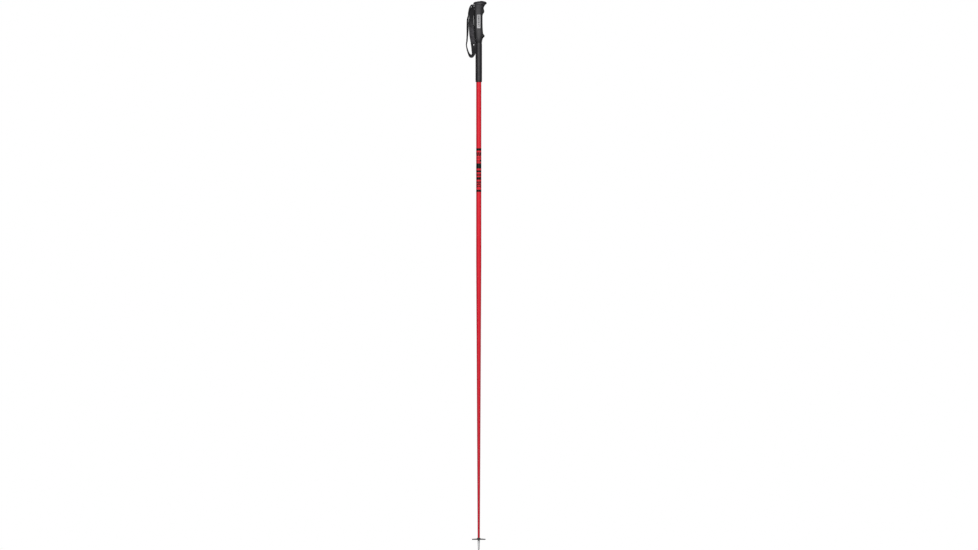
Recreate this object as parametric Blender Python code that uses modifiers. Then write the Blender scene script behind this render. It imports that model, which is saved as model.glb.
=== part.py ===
"""Alpine ski pole with a two-part grip, wrist strap, extension sleeve, tapered
tube shaft, small basket and steel tip.

Frame: origin at the centre of the tip's end face, +Z up along the shaft axis
towards the grip, +X forwards (the side the fingers close on and the beak of
the grip points to), so the wrist strap hangs on the -X side.

All sizes are in millimetres and angles in degrees; MM turns them into metres.
"""

import math

import bmesh
import bpy
from mathutils import Vector

MM = 0.001
FIT = 0.3                     # clearance left between neighbouring solids
ALONG_Y = (math.pi / 2, 0, 0)  # rotation that lays a piece's Z axis along Y

# ---------------------------------------------------------------- dimensions
TOP_Z = 1400.0                # highest point of the grip cap
TOP_X = 6.2                   # how far in front of the shaft axis it lies

# Shaft: one tube, parallel at the top and tapered below
SHAFT_R = 6.575               # outer radius of the parallel length
SHAFT_R_LOW = 2.8             # outer radius at the lower end
SHAFT_WALL = 0.9
SHAFT_WALL_LOW = 0.7
SHAFT_TAPER_Z = 729.0         # the taper's upper end
SHAFT_Z1 = 1373.0

# Plug in the shaft's upper end
PLUG_R = SHAFT_R - SHAFT_WALL - FIT
PLUG_HEAD_R = 6.5
PLUG_HEAD_CHAMFER = 0.4
PLUG_Z0 = 1350.0
PLUG_Z1 = 1375.2

# Grip shell, with the cap above it and the collar and sleeve below
GRIP_Z0 = 1294.6
GRIP_Z1 = 1390.7
CAP_Z0 = GRIP_Z1 + FIT
BORE_R = 6.9
BORE_TOP = 1376.3
BORE_CUT = 100.0              # length of the cylinder that cuts the bore
COLLAR_R = 8.15
COLLAR_Z1 = GRIP_Z0 - FIT
COLLAR_Z0 = COLLAR_Z1 - 2.1
SLEEVE_R = 8.35
SLEEVE_Z0 = 1193.2
SLEEVE_Z1 = COLLAR_Z0 - FIT

# Peg under the cap and its hole in the shell
PEG_X = 8.0
PEG_R, PEG_LENGTH, PEG_Z = 2.6, 6.0, 1389.6
PEG_HOLE_R, PEG_HOLE_LENGTH, PEG_HOLE_Z = 2.95, 10.0, 1391.0

# Soft pads let into the grip: half-width as an angle round the section, height
# range, and grid divisions across and along
FINGER_HALF, FINGER_Z, FINGER_GRID = 44.0, (1300.6, 1389.4), (10, 44)
PALM_HALF, PALM_Z, PALM_GRID = 55.0, (1303.0, 1378.0), (12, 16)
PAD_DEPTH = 1.3               # below the grip's surface
PAD_CORNER = 2.4
PAD_SPAN_R = 14.0             # pad half-width in mm for 90 degrees of half-width
FINGER_PROUD = 0.15
PALM_PROUD, PALM_CROWN = 0.1, 0.25
RECESS_MARGIN = 2.0           # degrees added to each side of a pad's recess

# Badge plates on both sides of the grip
BADGE_W = 8.9
BADGE_H = 34.6
BADGE_CORNER = 1.8
BADGE_T = 0.8
BADGE_Z = 1347.5
BADGE_FACE_Y = 9.7
BADGE_CUT = 4.0               # thickness of the plate that cuts a badge's seat
BADGE_SIDES = (("left", -1), ("right", 1))  # name and sign of Y

# Strap lock
PIN_X, PIN_Z, PIN_R, PIN_HALF = -1.5, 1381.6, 1.5, 9.1
NOTCH_HALF = 2.1              # reach of the pin notches before and behind the pin
WEDGE_X = (-5.7, 2.4)
WEDGE_HALF = 6.2
WEDGE_Z0 = 1385.2
WEDGE_RISE = 12.0             # height of the uncut wedge above the cap's base
WEDGE_NARROW = 0.86           # its lower end's length along X, as a share of the upper
WEDGE_BEVEL = 0.5
WEDGE_DROP = 0.25             # how far the wedge's top lies below the dome
DOME_Z0 = 1375.0              # bottom of the solid that trims the wedge
GUIDE_FRONT, GUIDE_HALF = 2.8, 6.6
POCKET_FLOOR = 1378.2
TAIL_WIDTH = 12.4

# Boxes that cut the lock's pocket: name, X range, half-width in Y, Z range
POCKET_BOXES = [
    ("cut_strap_gap", (-9.0, -5.8), 8.0, (POCKET_FLOOR, 1395.0)),
    ("cut_wedge_guide", (-6.2, GUIDE_FRONT), GUIDE_HALF, (POCKET_FLOOR, 1395.5)),
    ("cut_pin_notch", (PIN_X - NOTCH_HALF, PIN_X + NOTCH_HALF), PIN_HALF + FIT, (1379.7, 1396.0)),
    ("cut_mouth", (-20.0, -8.6), 8.05, (1385.0, 1396.5)),
]
CAP_GUIDE = ("cut_cap_guide", (-6.1, GUIDE_FRONT), GUIDE_HALF, (1380.0, 1410.0))

# Wrist strap
STRAP_W = 14.0
STRAP_T = 1.7
PIVOT = (-15.8, 0.0, 1388.0)
KNUCKLE_R = 2.2
STRAP_WINDOW_AT = (-12.6, 0, 1287.6)
WRIST_PAD_W = STRAP_W - 1.0
WRIST_PAD_T = 1.4
WRIST_PAD_TAPER = 2.5         # taken off each side at the pad's two ends
WRIST_PAD_SPAN = (32, 40)     # first and last stations of STRAP_PATH it covers

# Tip: a steel insert in a ferrule that has a groove for the basket's hub
INSERT_R = 1.55
INSERT_Z1 = 9.0
INSERT_CHAMFER = (0.35, 0.5)  # radius and height
SOCKET_R = INSERT_R + FIT
FERRULE_R = SHAFT_R_LOW
FERRULE_SHOULDER_Z = 31.2
SPIGOT_R = 1.75
GROOVE_R = 2.2
GROOVE_Z = (25.5, 29.35)
SHAFT_Z0 = FERRULE_SHOULDER_Z + FIT

# Basket, with heights measured from its pivot
BASKET_Z = 28.0
BASKET_R = 17.4
HUB_TOP = 31.4 - BASKET_Z
HUB_BOTTOM = GROOVE_Z[0] + FIT - BASKET_Z
LIP_TOP = GROOVE_Z[1] - FIT - BASKET_Z
LIP_BORE_R = GROOVE_R + FIT
HUB_BORE_R = FERRULE_R + FIT
WINDOWS = 6
WINDOW_PITCH = 360 // WINDOWS
WINDOW_MARGIN = 11            # angle from a pitch line to a window's outer corner
WINDOW_PINCH = 6              # extra angle at its inner corners
WINDOW_RADII = (6.8, 14.0)
WINDOW_CUT = 12.0

# ------------------------------------------------------------ section tables
# Each row is (height, value). FRONT and REAR are the grip and cap's reach
# forwards and backwards of the shaft axis, WIDTH the half-width, and POWER the
# power of the superellipse (2 is an ellipse, 3 is squarer).
FRONT = [(1294.6, 8.6), (1296.4, 8.75), (1299.0, 9.1), (1302.0, 9.6),
         (1306.0, 10.0), (1311.0, 10.4), (1316.0, 10.6), (1322.0, 10.5),
         (1330.0, 10.0), (1340.0, 9.65), (1350.0, 9.55), (1360.0, 9.6),
         (1365.0, 9.9), (1370.0, 10.4), (1375.4, 11.0), (1378.0, 11.4),
         (1380.5, 11.9), (1383.1, 12.65), (1385.6, 13.9), (1388.2, 15.6),
         (1390.7, 18.1), (1391.8, 19.3), (1392.8, 20.0), (1393.8, 20.3),
         (1394.8, 20.3), (1395.8, 19.8), (1396.6, 19.0), (1397.4, 17.9),
         (1398.1, 16.3), (1398.7, 14.3), (1399.2, 12.4), (1399.6, 10.7),
         (1399.85, 9.0)]
REAR = [(1294.6, 8.6), (1297.0, 9.0), (1300.0, 9.6), (1304.0, 10.1),
        (1310.0, 10.6), (1320.0, 11.1), (1330.0, 11.6), (1340.0, 12.0),
        (1350.0, 12.3), (1360.0, 12.6), (1370.0, 12.9), (1380.0, 13.1),
        (1388.0, 13.25), (1390.7, 13.3), (1391.8, 13.6), (1392.8, 13.75),
        (1393.8, 13.8), (1394.8, 13.5), (1395.8, 12.6), (1396.6, 11.1),
        (1397.4, 9.3), (1398.1, 7.0), (1398.7, 4.6), (1399.2, 1.6),
        (1399.6, -1.6), (1399.85, -3.6)]
WIDTH = [(1294.6, 8.6), (1297.0, 8.9), (1300.0, 9.3), (1305.0, 9.65),
         (1315.0, 9.9), (1330.0, 10.0), (1360.0, 10.0), (1370.0, 10.2),
         (1380.0, 10.5), (1385.0, 10.8), (1390.7, 11.1), (1391.8, 11.35),
         (1392.8, 11.5), (1393.8, 11.5), (1394.8, 11.2), (1395.8, 10.5),
         (1396.6, 9.6), (1397.4, 8.4), (1398.1, 7.1), (1398.7, 5.8),
         (1399.2, 4.5), (1399.6, 3.0), (1399.85, 1.7)]
POWER = [(1294.6, 2.0), (1300.0, 2.2), (1310.0, 2.6), (1322.0, 2.9),
         (1330.0, 3.0), (1366.0, 3.0), (1380.0, 2.7), (1390.7, 2.4),
         (1396.0, 2.3), (1399.85, 2.0)]
# How much the section narrows towards the beak
NARROW = [(1294.6, 0.0), (1383.1, 0.0), (1386.0, 0.12), (1390.7, 0.34),
          (1395.8, 0.36), (1399.85, 0.2)]
# Forward reach of the soft finger pad, with its two finger ridges
RIDGES = [(1300.0, 9.6), (1301.5, 9.8), (1304.1, 10.6), (1306.6, 12.7),
          (1308.4, 14.4), (1310.4, 15.05), (1311.9, 14.7), (1314.3, 12.9),
          (1316.8, 11.4), (1319.3, 10.95), (1324.4, 10.5), (1329.5, 10.1),
          (1340.0, 9.7), (1350.0, 9.6), (1360.0, 9.65), (1362.7, 9.8),
          (1365.2, 10.5), (1367.8, 12.0), (1370.3, 13.55), (1372.9, 14.3),
          (1375.4, 13.95), (1378.0, 13.1), (1380.5, 12.6), (1383.1, 12.75)]

# Heights of the rings that the shell and the cap are skinned through, between
# their drawn-in end rings
SHELL_LEVELS = [1295.3, 1296.4, 1298.0, 1300.0, 1303.0, 1307.0, 1312.0, 1318.0,
                1325.0, 1333.0, 1342.0, 1351.0, 1359.0, 1365.0, 1370.0, 1374.0,
                1377.5, 1380.5, 1383.1, 1385.2, 1387.2, 1389.0, 1390.2]
CAP_LEVELS = [1391.6, 1392.4, 1393.2, 1394.0, 1394.8, 1395.6, 1396.4, 1397.1,
              1397.7, 1398.2, 1398.7, 1399.15, 1399.5, 1399.8]
SECTION_POINTS = 28

# Strap stations: centre line X and Z, and the turn of the strap's width away
# from Y about its centre line. It leaves the lock, drops down the outer leg,
# turns at the bottom and climbs the inner leg back to the lock.
STRAP_PATH = [(-15.8, 1389.3, 0), (-17.5, 1389.1, 1), (-19.6, 1387.6, 3),
              (-21.7, 1384.5, 5), (-23.3, 1380.6, 6), (-24.3, 1376.0, 7),
              (-25.3, 1370.3, 8), (-26.0, 1365.0, 8), (-26.7, 1361.0, 9),
              (-27.6, 1357.0, 12), (-28.3, 1352.5, 15), (-28.4, 1347.5, 17),
              (-28.5, 1342.0, 18), (-28.6, 1330.0, 18), (-29.0, 1316.0, 14),
              (-29.6, 1306.0, 11), (-30.1, 1299.0, 10), (-30.9, 1293.5, 9),
              (-31.5, 1289.0, 7), (-31.2, 1284.5, 7), (-30.1, 1279.0, 8),
              (-28.6, 1273.3, 10), (-26.7, 1268.0, 13), (-24.6, 1263.7, 18),
              (-22.2, 1260.5, 28), (-19.7, 1259.1, 33), (-17.1, 1259.4, 35),
              (-14.8, 1262.0, 33), (-13.1, 1265.9, 38), (-12.9, 1271.3, 46),
              (-13.05, 1277.0, 50), (-13.35, 1283.0, 52), (-14.0, 1290.0, 56),
              (-14.9, 1298.0, 54), (-16.5, 1306.0, 58), (-17.4, 1314.0, 62),
              (-18.05, 1322.0, 65), (-18.5, 1332.0, 65), (-18.95, 1342.0, 60),
              (-18.95, 1351.0, 55), (-18.85, 1359.0, 51), (-18.4, 1366.0, 47),
              (-17.9, 1372.0, 43), (-17.3, 1377.5, 37), (-16.55, 1382.0, 29),
              (-16.25, 1385.0, 15), (-15.8, 1386.7, 0)]
# Y of the strap's centre line, by station number
STRAP_LEAN = [(24, 0.0), (26, -1.0), (28, -2.6), (29, -3.2), (42, -3.2),
              (43, -2.7), (44, -1.8), (45, -0.8), (46, 0.0)]

# The strap's sewn end seen along Y, as (x, z)
TAIL_OUTLINE = [(-13.2, 1386.1), (-8.7, 1386.1), (-8.7, 1379.6), (-8.0, 1378.8),
                (-1.5, 1378.8), (0.2, 1379.3), (1.2, 1380.6), (1.3, 1382.2),
                (0.6, 1383.6), (-0.7, 1384.4), (-2.4, 1384.3), (-3.6, 1383.5),
                (-4.4, 1382.4), (-6.1, 1382.4), (-6.1, 1389.6), (-6.8, 1390.4),
                (-13.2, 1390.4)]
# Opening in the strap, as (x, z) from STRAP_WINDOW_AT
STRAP_WINDOW = [(-1.9, 2.1), (-0.2, -2.2), (0.4, -2.2), (1.7, 1.6), (1.4, 2.1)]


# ------------------------------------------------------------ surface of grip
def smooth(table):
    """A function that runs through the (x, y) pairs of table without overshoot."""
    xs, ys = zip(*table)
    steps = [(ys[i + 1] - ys[i]) / (xs[i + 1] - xs[i]) for i in range(len(xs) - 1)]
    slopes = [steps[0]]
    for before, after in zip(steps, steps[1:]):
        turns = before * after <= 0
        slopes.append(0.0 if turns else 2 * before * after / (before + after))
    slopes.append(steps[-1])

    def value(x):
        x = min(max(x, xs[0]), xs[-1])
        i = 0
        while i < len(xs) - 2 and x > xs[i + 1]:
            i += 1
        span = xs[i + 1] - xs[i]
        part = (x - xs[i]) / span
        return ((2 * part**3 - 3 * part**2 + 1) * ys[i]
                + (part**3 - 2 * part**2 + part) * span * slopes[i]
                + (-2 * part**3 + 3 * part**2) * ys[i + 1]
                + (part**3 - part**2) * span * slopes[i + 1])

    return value


front_of, rear_of, width_of = smooth(FRONT), smooth(REAR), smooth(WIDTH)
power_of, narrow_of, ridge_of = smooth(POWER), smooth(NARROW), smooth(RIDGES)
lean_of = smooth(STRAP_LEAN)


def skin(angle, z, out=0.0):
    """The point of the grip's surface at an angle round its section, in degrees
    from the front, moved outwards by out."""
    front, rear, power = front_of(z), rear_of(z), power_of(z)
    middle, half_length = (front - rear) / 2, (front + rear) / 2
    cosine, sine = math.cos(math.radians(angle)), math.sin(math.radians(angle))
    radius = ((abs(cosine) / half_length) ** power
              + (abs(sine) / width_of(z)) ** power) ** (-1 / power) + out
    x, y = radius * cosine, radius * sine
    return (middle + x, y * (1 - narrow_of(z) * max(0.0, x / half_length) ** 1.5), z)


def section(z, inset=0.0):
    """One ring of the grip at height z."""
    return [skin(360 * k / SECTION_POINTS, z, -inset) for k in range(SECTION_POINTS)]


# ------------------------------------------------------------------ helpers
def material(name, colour, roughness, metallic=0.0):
    mat = bpy.data.materials.new(name)
    mat.use_nodes = True
    shader = mat.node_tree.nodes["Principled BSDF"]
    shader.inputs["Base Color"].default_value = (*colour, 1.0)
    shader.inputs["Roughness"].default_value = roughness
    shader.inputs["Metallic"].default_value = metallic
    return mat


def link(obj, mat=None, parent=None, collection=None):
    """Puts obj in the collection, by default the pole's own."""
    (collection or pole).objects.link(obj)
    if mat is not None:
        obj.data.materials.append(mat)
    if parent is not None:
        obj.parent = parent
    return obj


def empty(name, at):
    obj = bpy.data.objects.new(name, None)
    obj.location = Vector(at) * MM
    return link(obj)


def shade(obj, angle=40):
    """Smooth shading, with edges sharper than angle kept crisp."""
    obj.data.shade_smooth()
    obj.data.set_sharp_from_angle(angle=math.radians(angle))


def from_bmesh(name, build, mat=None, at=(0, 0, 0), parent=None, collection=None):
    """An object whose mesh is build, given in millimetres from its origin."""
    bmesh.ops.scale(build, vec=(MM, MM, MM), verts=build.verts)
    mesh = bpy.data.meshes.new(name)
    build.to_mesh(mesh)
    build.free()
    obj = bpy.data.objects.new(name, mesh)
    obj.location = Vector(at) * MM
    return link(obj, mat, parent, collection)


def turned(name, profile, mat, steps=32, parent=None, closed=True):
    """A turned piece: profile is (radius, height) pairs that run down its outer
    side from the top. A closed profile is a ring, an open one starts and ends
    on the axis."""
    build = bmesh.new()
    points = [build.verts.new((radius, 0, z)) for radius, z in profile]
    for start, end in zip(points, points[1:]):
        build.edges.new((start, end))
    if closed:
        build.edges.new((points[-1], points[0]))
    obj = from_bmesh(name, build, mat, parent=parent)
    screw = obj.modifiers.new("Turn", "SCREW")
    screw.axis = "Z"
    screw.angle = 2 * math.pi
    screw.steps = screw.render_steps = steps
    screw.use_merge_vertices = True
    screw.merge_threshold = 0.00001
    screw.use_smooth_shade = True
    return obj


def tube(name, radius, z0, z1, top_chamfer, low_chamfer, mat):
    """A tube on the grip's bore; each outer chamfer is (radius, height)."""
    return turned(name, [
        (radius - top_chamfer[0], z1), (radius, z1 - top_chamfer[1]),
        (radius, z0 + low_chamfer[1]), (radius - low_chamfer[0], z0),
        (BORE_R, z0), (BORE_R, z1),
    ], mat)


def block(name, x, half_width, z, mat=None, parent=None, collection=None):
    """A box between the (low, high) pairs x and z, centred in Y, with its
    origin at its centre."""
    ranges = (x, (-half_width, half_width), z)
    build = bmesh.new()
    bmesh.ops.create_cube(build, size=1.0)
    bmesh.ops.scale(build, vec=[high - low for low, high in ranges], verts=build.verts)
    centre = [(low + high) / 2 for low, high in ranges]
    return from_bmesh(name, build, mat, centre, parent, collection)


def rod(name, radius, length, at, segments=32, along_y=False,
        mat=None, parent=None, collection=None):
    """A cylinder centred on at, upright or lying along Y."""
    build = bmesh.new()
    bmesh.ops.create_cone(build, cap_ends=True, segments=segments, radius1=radius,
                          radius2=radius, depth=length)
    obj = from_bmesh(name, build, mat, at, parent, collection)
    if along_y:
        obj.rotation_euler = ALONG_Y
    shade(obj)
    return obj


def outline_plate(name, loops, thickness, mat=None, at=(0, 0, 0), turn=ALONG_Y,
                  collection=None):
    """A flat plate from closed outlines (the later ones are holes): a filled 2D
    curve, extruded by half its thickness each way, then made a mesh so that it
    can be cut or joined."""
    curve = bpy.data.curves.new(name, "CURVE")
    curve.dimensions = "2D"
    curve.fill_mode = "BOTH"
    curve.extrude = thickness * MM / 2
    for loop in loops:
        spline = curve.splines.new("POLY")
        spline.points.add(len(loop) - 1)
        for point, (x, y) in zip(spline.points, loop):
            point.co = (x * MM, y * MM, 0, 1)
        spline.use_cyclic_u = True
    drawn = bpy.data.objects.new(name + "_outline", curve)
    drawn.location = Vector(at) * MM
    drawn.rotation_euler = turn
    pole.objects.link(drawn)
    bpy.context.view_layer.update()
    graph = bpy.context.evaluated_depsgraph_get()
    mesh = bpy.data.meshes.new_from_object(drawn.evaluated_get(graph))
    # weld the faces to the rim
    build = bmesh.new()
    build.from_mesh(mesh)
    bmesh.ops.remove_doubles(build, verts=build.verts, dist=1e-6)
    build.to_mesh(mesh)
    build.free()
    obj = bpy.data.objects.new(name, mesh)
    obj.matrix_world = drawn.matrix_world.copy()
    bpy.data.objects.remove(drawn)
    return link(obj, mat, collection=collection)


def polar(radius, degrees, centre=(0, 0)):
    return (centre[0] + radius * math.cos(math.radians(degrees)),
            centre[1] + radius * math.sin(math.radians(degrees)))


def round_rect(width, height, radius, steps=5):
    points = []
    for side, end, start in ((1, 1, 0), (-1, 1, 90), (-1, -1, 180), (1, -1, 270)):
        centre = (side * (width / 2 - radius), end * (height / 2 - radius))
        points += [polar(radius, start + 90 * k / steps, centre) for k in range(steps + 1)]
    return points


def modify(obj, other, operation="DIFFERENCE"):
    """obj minus, plus or common with other, by a live Boolean."""
    boolean = obj.modifiers.new(operation.title(), "BOOLEAN")
    boolean.operation = operation
    boolean.solver = "EXACT"
    boolean.object = other
    other.hide_render = True
    other.display_type = "WIRE"


def lofted(name, rings, mat=None, apex=None, collection=None):
    """A skin through rings of equal counts, bottom to top, closed below by a
    flat face and above by a flat face or a fan to apex."""
    build = bmesh.new()
    rows = [[build.verts.new(point) for point in ring] for ring in rings]
    count = len(rows[0])
    for low, high in zip(rows, rows[1:]):
        for k in range(count):
            j = (k + 1) % count
            build.faces.new((low[k], low[j], high[j], high[k]))
    build.faces.new(rows[0][::-1])
    if apex is None:
        build.faces.new(rows[-1])
    else:
        tip = build.verts.new(apex)
        for k in range(count):
            build.faces.new((rows[-1][k], rows[-1][(k + 1) % count], tip))
    bmesh.ops.recalc_face_normals(build, faces=build.faces)
    obj = from_bmesh(name, build, mat, collection=collection)
    shade(obj, 35)
    return obj


def soft_pad(name, middle, half, heights, low, high, grid, mat=None, collection=None):
    """A shell laid on the grip's surface, middle and half being its middle and
    half-width as angles round the section. Its inner side lies low outside the
    surface, and its outer side high(across, z), with across from -1 to 1."""
    z0, z1 = heights
    build = bmesh.new()
    bmesh.ops.create_grid(build, x_segments=grid[0], y_segments=grid[1], size=0.5)
    reach = half / 90 * PAD_SPAN_R
    places = {}
    for vert in build.verts:
        across = vert.co.x * 2
        # round the corners by drawing the ends of the outer columns in
        edge = max(abs(across) * reach - (reach - PAD_CORNER), 0.0) / PAD_CORNER
        drop = PAD_CORNER * (1 - math.sqrt(max(0.0, 1 - edge**2)))
        z = z0 + drop + (vert.co.y + 0.5) * (z1 - z0 - 2 * drop)
        vert.co = skin(middle + across * half, z, high(across, z))
        places[vert.co.to_tuple(4)] = (middle + across * half, z)
    # the extruded copies become the inner side
    copied = bmesh.ops.extrude_face_region(build, geom=build.faces[:])
    for part in copied["geom"]:
        if isinstance(part, bmesh.types.BMVert):
            part.co = skin(*places[part.co.to_tuple(4)], low)
    bmesh.ops.recalc_face_normals(build, faces=build.faces)
    obj = from_bmesh(name, build, mat, collection=collection)
    shade(obj)
    return obj


def pad_recess(name, middle, half, heights, rise, grid):
    """The cutter for a soft pad's recess, reaching rise outside the surface."""
    return soft_pad(name, middle, half + RECESS_MARGIN, (heights[0] - FIT, heights[1] + FIT),
                    -PAD_DEPTH - FIT, lambda across, z: rise, grid, collection=cutters)


# -------------------------------------------------------------------- shaft
def build_shaft():
    turned("shaft", [
        (SHAFT_R, SHAFT_Z1),
        (SHAFT_R, SHAFT_TAPER_Z),
        (SHAFT_R_LOW, SHAFT_Z0),
        (SHAFT_R_LOW - SHAFT_WALL_LOW, SHAFT_Z0),
        (SHAFT_R - SHAFT_WALL, SHAFT_TAPER_Z),
        (SHAFT_R - SHAFT_WALL, SHAFT_Z1),
    ], red_paint)


def build_plug():
    """The plug that closes the tube's upper end and seats the grip on it."""
    turned("shaft_top_plug", [
        (0, PLUG_Z1), (PLUG_HEAD_R - PLUG_HEAD_CHAMFER, PLUG_Z1),
        (PLUG_HEAD_R, PLUG_Z1 - PLUG_HEAD_CHAMFER), (PLUG_HEAD_R, SHAFT_Z1 + FIT),
        (PLUG_R, SHAFT_Z1 + FIT), (PLUG_R, PLUG_Z0 + 2.0), (PLUG_R - 1.2, PLUG_Z0),
        (0, PLUG_Z0),
    ], plug_black, steps=24, closed=False)


# --------------------------------------------------------------------- grip
def badge_outline(margin=0.0):
    return round_rect(BADGE_W + 2 * margin, BADGE_H + 2 * margin, BADGE_CORNER + margin)


def build_grip_shell():
    rings = ([section(GRIP_Z0, inset=0.5)] + [section(z) for z in SHELL_LEVELS]
             + [section(GRIP_Z1, inset=0.35)])
    shell = lofted("grip_shell", rings, charcoal)
    modify(shell, rod("cut_shaft_bore", BORE_R, BORE_CUT, (0, 0, BORE_TOP - BORE_CUT / 2),
                      collection=cutters))
    modify(shell, pad_recess("cut_finger_recess", 0, FINGER_HALF, FINGER_Z, 5.0, FINGER_GRID))
    modify(shell, pad_recess("cut_palm_recess", 180, PALM_HALF, PALM_Z, 4.0, PALM_GRID))
    seat_y = BADGE_FACE_Y - BADGE_T - FIT + BADGE_CUT / 2
    for name, side in BADGE_SIDES:
        modify(shell, outline_plate("cut_badge_" + name, [badge_outline(FIT)], BADGE_CUT,
                                    at=(0, side * seat_y, BADGE_Z), collection=cutters))
    for box in POCKET_BOXES:
        modify(shell, block(*box, collection=cutters))
    modify(shell, rod("cut_peg_hole", PEG_HOLE_R, PEG_HOLE_LENGTH, (PEG_X, 0, PEG_HOLE_Z),
                      segments=20, collection=cutters))


def finger_rise(across, z):
    """The pad stands a little proud, and its two ridges fade out towards its edges."""
    ridge = max(0.0, ridge_of(z) - front_of(z) - FINGER_PROUD)
    return FINGER_PROUD + ridge * max(0.0, 1 - abs(across) ** 2.2)


def palm_rise(across, z):
    return PALM_PROUD + PALM_CROWN * (1 - across * across)


def build_soft_pads():
    soft_pad("finger_pad", 0, FINGER_HALF, FINGER_Z, -PAD_DEPTH, finger_rise,
             FINGER_GRID, soft_black)
    soft_pad("palm_pad", 180, PALM_HALF, PALM_Z, -PAD_DEPTH, palm_rise,
             PALM_GRID, soft_black)


def build_grip_cap():
    rings = [section(CAP_Z0, inset=0.3)] + [section(z) for z in CAP_LEVELS]
    cap = lofted("grip_cap", rings, soft_black, apex=(TOP_X, 0, TOP_Z))
    peg = rod("cap_peg", PEG_R, PEG_LENGTH, (PEG_X, 0, PEG_Z), segments=20, collection=cutters)
    modify(cap, peg, "UNION")
    modify(cap, block(*CAP_GUIDE, collection=cutters))


def build_badges():
    for name, side in BADGE_SIDES:
        outline_plate("badge_" + name, [badge_outline()], BADGE_T, badge_grey,
                      (0, side * (BADGE_FACE_Y - BADGE_T / 2), BADGE_Z))


def build_collar_and_sleeve():
    tube("grip_collar", COLLAR_R, COLLAR_Z0, COLLAR_Z1,
         top_chamfer=(0.3, 0.4), low_chamfer=(0.3, 0.4), mat=soft_black)
    tube("grip_sleeve", SLEEVE_R, SLEEVE_Z0, SLEEVE_Z1,
         top_chamfer=(0.5, 0.6), low_chamfer=(0.6, 0.8), mat=sleeve_black)


# --------------------------------------------------------------- strap lock
def build_anchor_pin():
    rod("strap_anchor_pin", PIN_R, PIN_HALF * 2, (PIN_X, 0, PIN_Z), segments=20,
        along_y=True, mat=pin_steel)


def build_strap_tail():
    """The strap's sewn end: in at the mouth, down behind the wedge, round the pin."""
    steps = 16
    pin_hole = [polar(PIN_R + FIT, 360 * k / steps, (PIN_X, PIN_Z))
                for k in reversed(range(steps))]
    outline_plate("strap_tail", [TAIL_OUTLINE, pin_hole], TAIL_WIDTH, web_black)


def build_wedge():
    """The wedge that clamps the strap: it narrows downwards, and its top follows
    the dome of the cap."""
    guide_x = sum(WEDGE_X) / 2
    guide = empty("wedge_guide", (guide_x, 0, CAP_Z0))
    wedge = block("strap_wedge", (WEDGE_X[0] - guide_x, WEDGE_X[1] - guide_x), WEDGE_HALF,
                  (WEDGE_Z0 - CAP_Z0, WEDGE_RISE), wedge_black, guide)
    for vert in wedge.data.vertices:
        if vert.co.z < 0:
            vert.co.x *= WEDGE_NARROW
    edges = wedge.modifiers.new("Edges", "BEVEL")
    edges.width = WEDGE_BEVEL * MM
    edges.segments = 2
    dome_rings = [[(x, y, z - WEDGE_DROP) for x, y, z in section(level)]
                  for level in [DOME_Z0] + CAP_LEVELS[1:]]
    dome = lofted("shape_wedge_top", dome_rings, apex=(TOP_X, 0, TOP_Z - WEDGE_DROP),
                  collection=cutters)
    modify(wedge, dome, "INTERSECT")


# -------------------------------------------------------------- wrist strap
def strap_frames():
    """Centre, width direction and face normal at each strap station, measured
    from the pivot at the lock."""
    frames = []
    level = Vector((0, 1, 0))
    for i, (x, z, yaw) in enumerate(STRAP_PATH):
        before = STRAP_PATH[max(i - 1, 0)]
        after = STRAP_PATH[min(i + 1, len(STRAP_PATH) - 1)]
        along = Vector((after[0] - before[0], 0, after[1] - before[1])).normalized()
        across = level.cross(along).normalized()
        turn = -math.radians(yaw)
        wide = (level * math.cos(turn) + across * math.sin(turn)).normalized()
        centre = Vector((x - PIVOT[0], lean_of(i), z - PIVOT[2]))
        frames.append((centre, wide, along.cross(wide).normalized()))
    return frames


def webbing(name, stations, width, thickness, mat, parent, offset=0.0, taper=0.0):
    """A strip of webbing: an open surface along the stations, given thickness by
    Solidify. offset moves it along its face normal, and taper is taken off each
    side at its two ends."""
    build = bmesh.new()
    rows = []
    for i, (centre, wide, normal) in enumerate(stations):
        reach = width / 2 - (taper if i in (0, len(stations) - 1) else 0.0)
        middle = centre + normal * offset
        rows.append([build.verts.new(middle + wide * reach * part)
                     for part in (-1, -0.33, 0.33, 1)])
    for low, high in zip(rows, rows[1:]):
        for k in range(3):
            build.faces.new((low[k], low[k + 1], high[k + 1], high[k]))
    bmesh.ops.recalc_face_normals(build, faces=build.faces)
    obj = from_bmesh(name, build, mat, parent=parent)
    solid = obj.modifiers.new("Thickness", "SOLIDIFY")
    solid.thickness = thickness * MM
    solid.offset = 0.0
    solid.use_even_offset = False
    return obj


def build_wrist_strap():
    """The loop, joined by a roll at the lock and with an opening through its
    inner leg, and the pad on the inside of the loop."""
    pivot = empty("strap_pivot", PIVOT)
    frames = strap_frames()
    loop = webbing("strap_loop", frames, STRAP_W, STRAP_T, web_black, pivot)
    modify(loop, rod("join_strap_roll", KNUCKLE_R, STRAP_W, (0, 0, 0), segments=24,
                     along_y=True, parent=pivot, collection=cutters), "UNION")
    modify(loop, outline_plate("cut_strap_window", [STRAP_WINDOW], 30.0,
                               at=STRAP_WINDOW_AT, collection=cutters))
    first, last = WRIST_PAD_SPAN
    webbing("wrist_pad", frames[first:last + 1], WRIST_PAD_W, WRIST_PAD_T, pad_black, pivot,
            offset=STRAP_T / 2 + FIT + WRIST_PAD_T / 2, taper=WRIST_PAD_TAPER)


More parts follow.
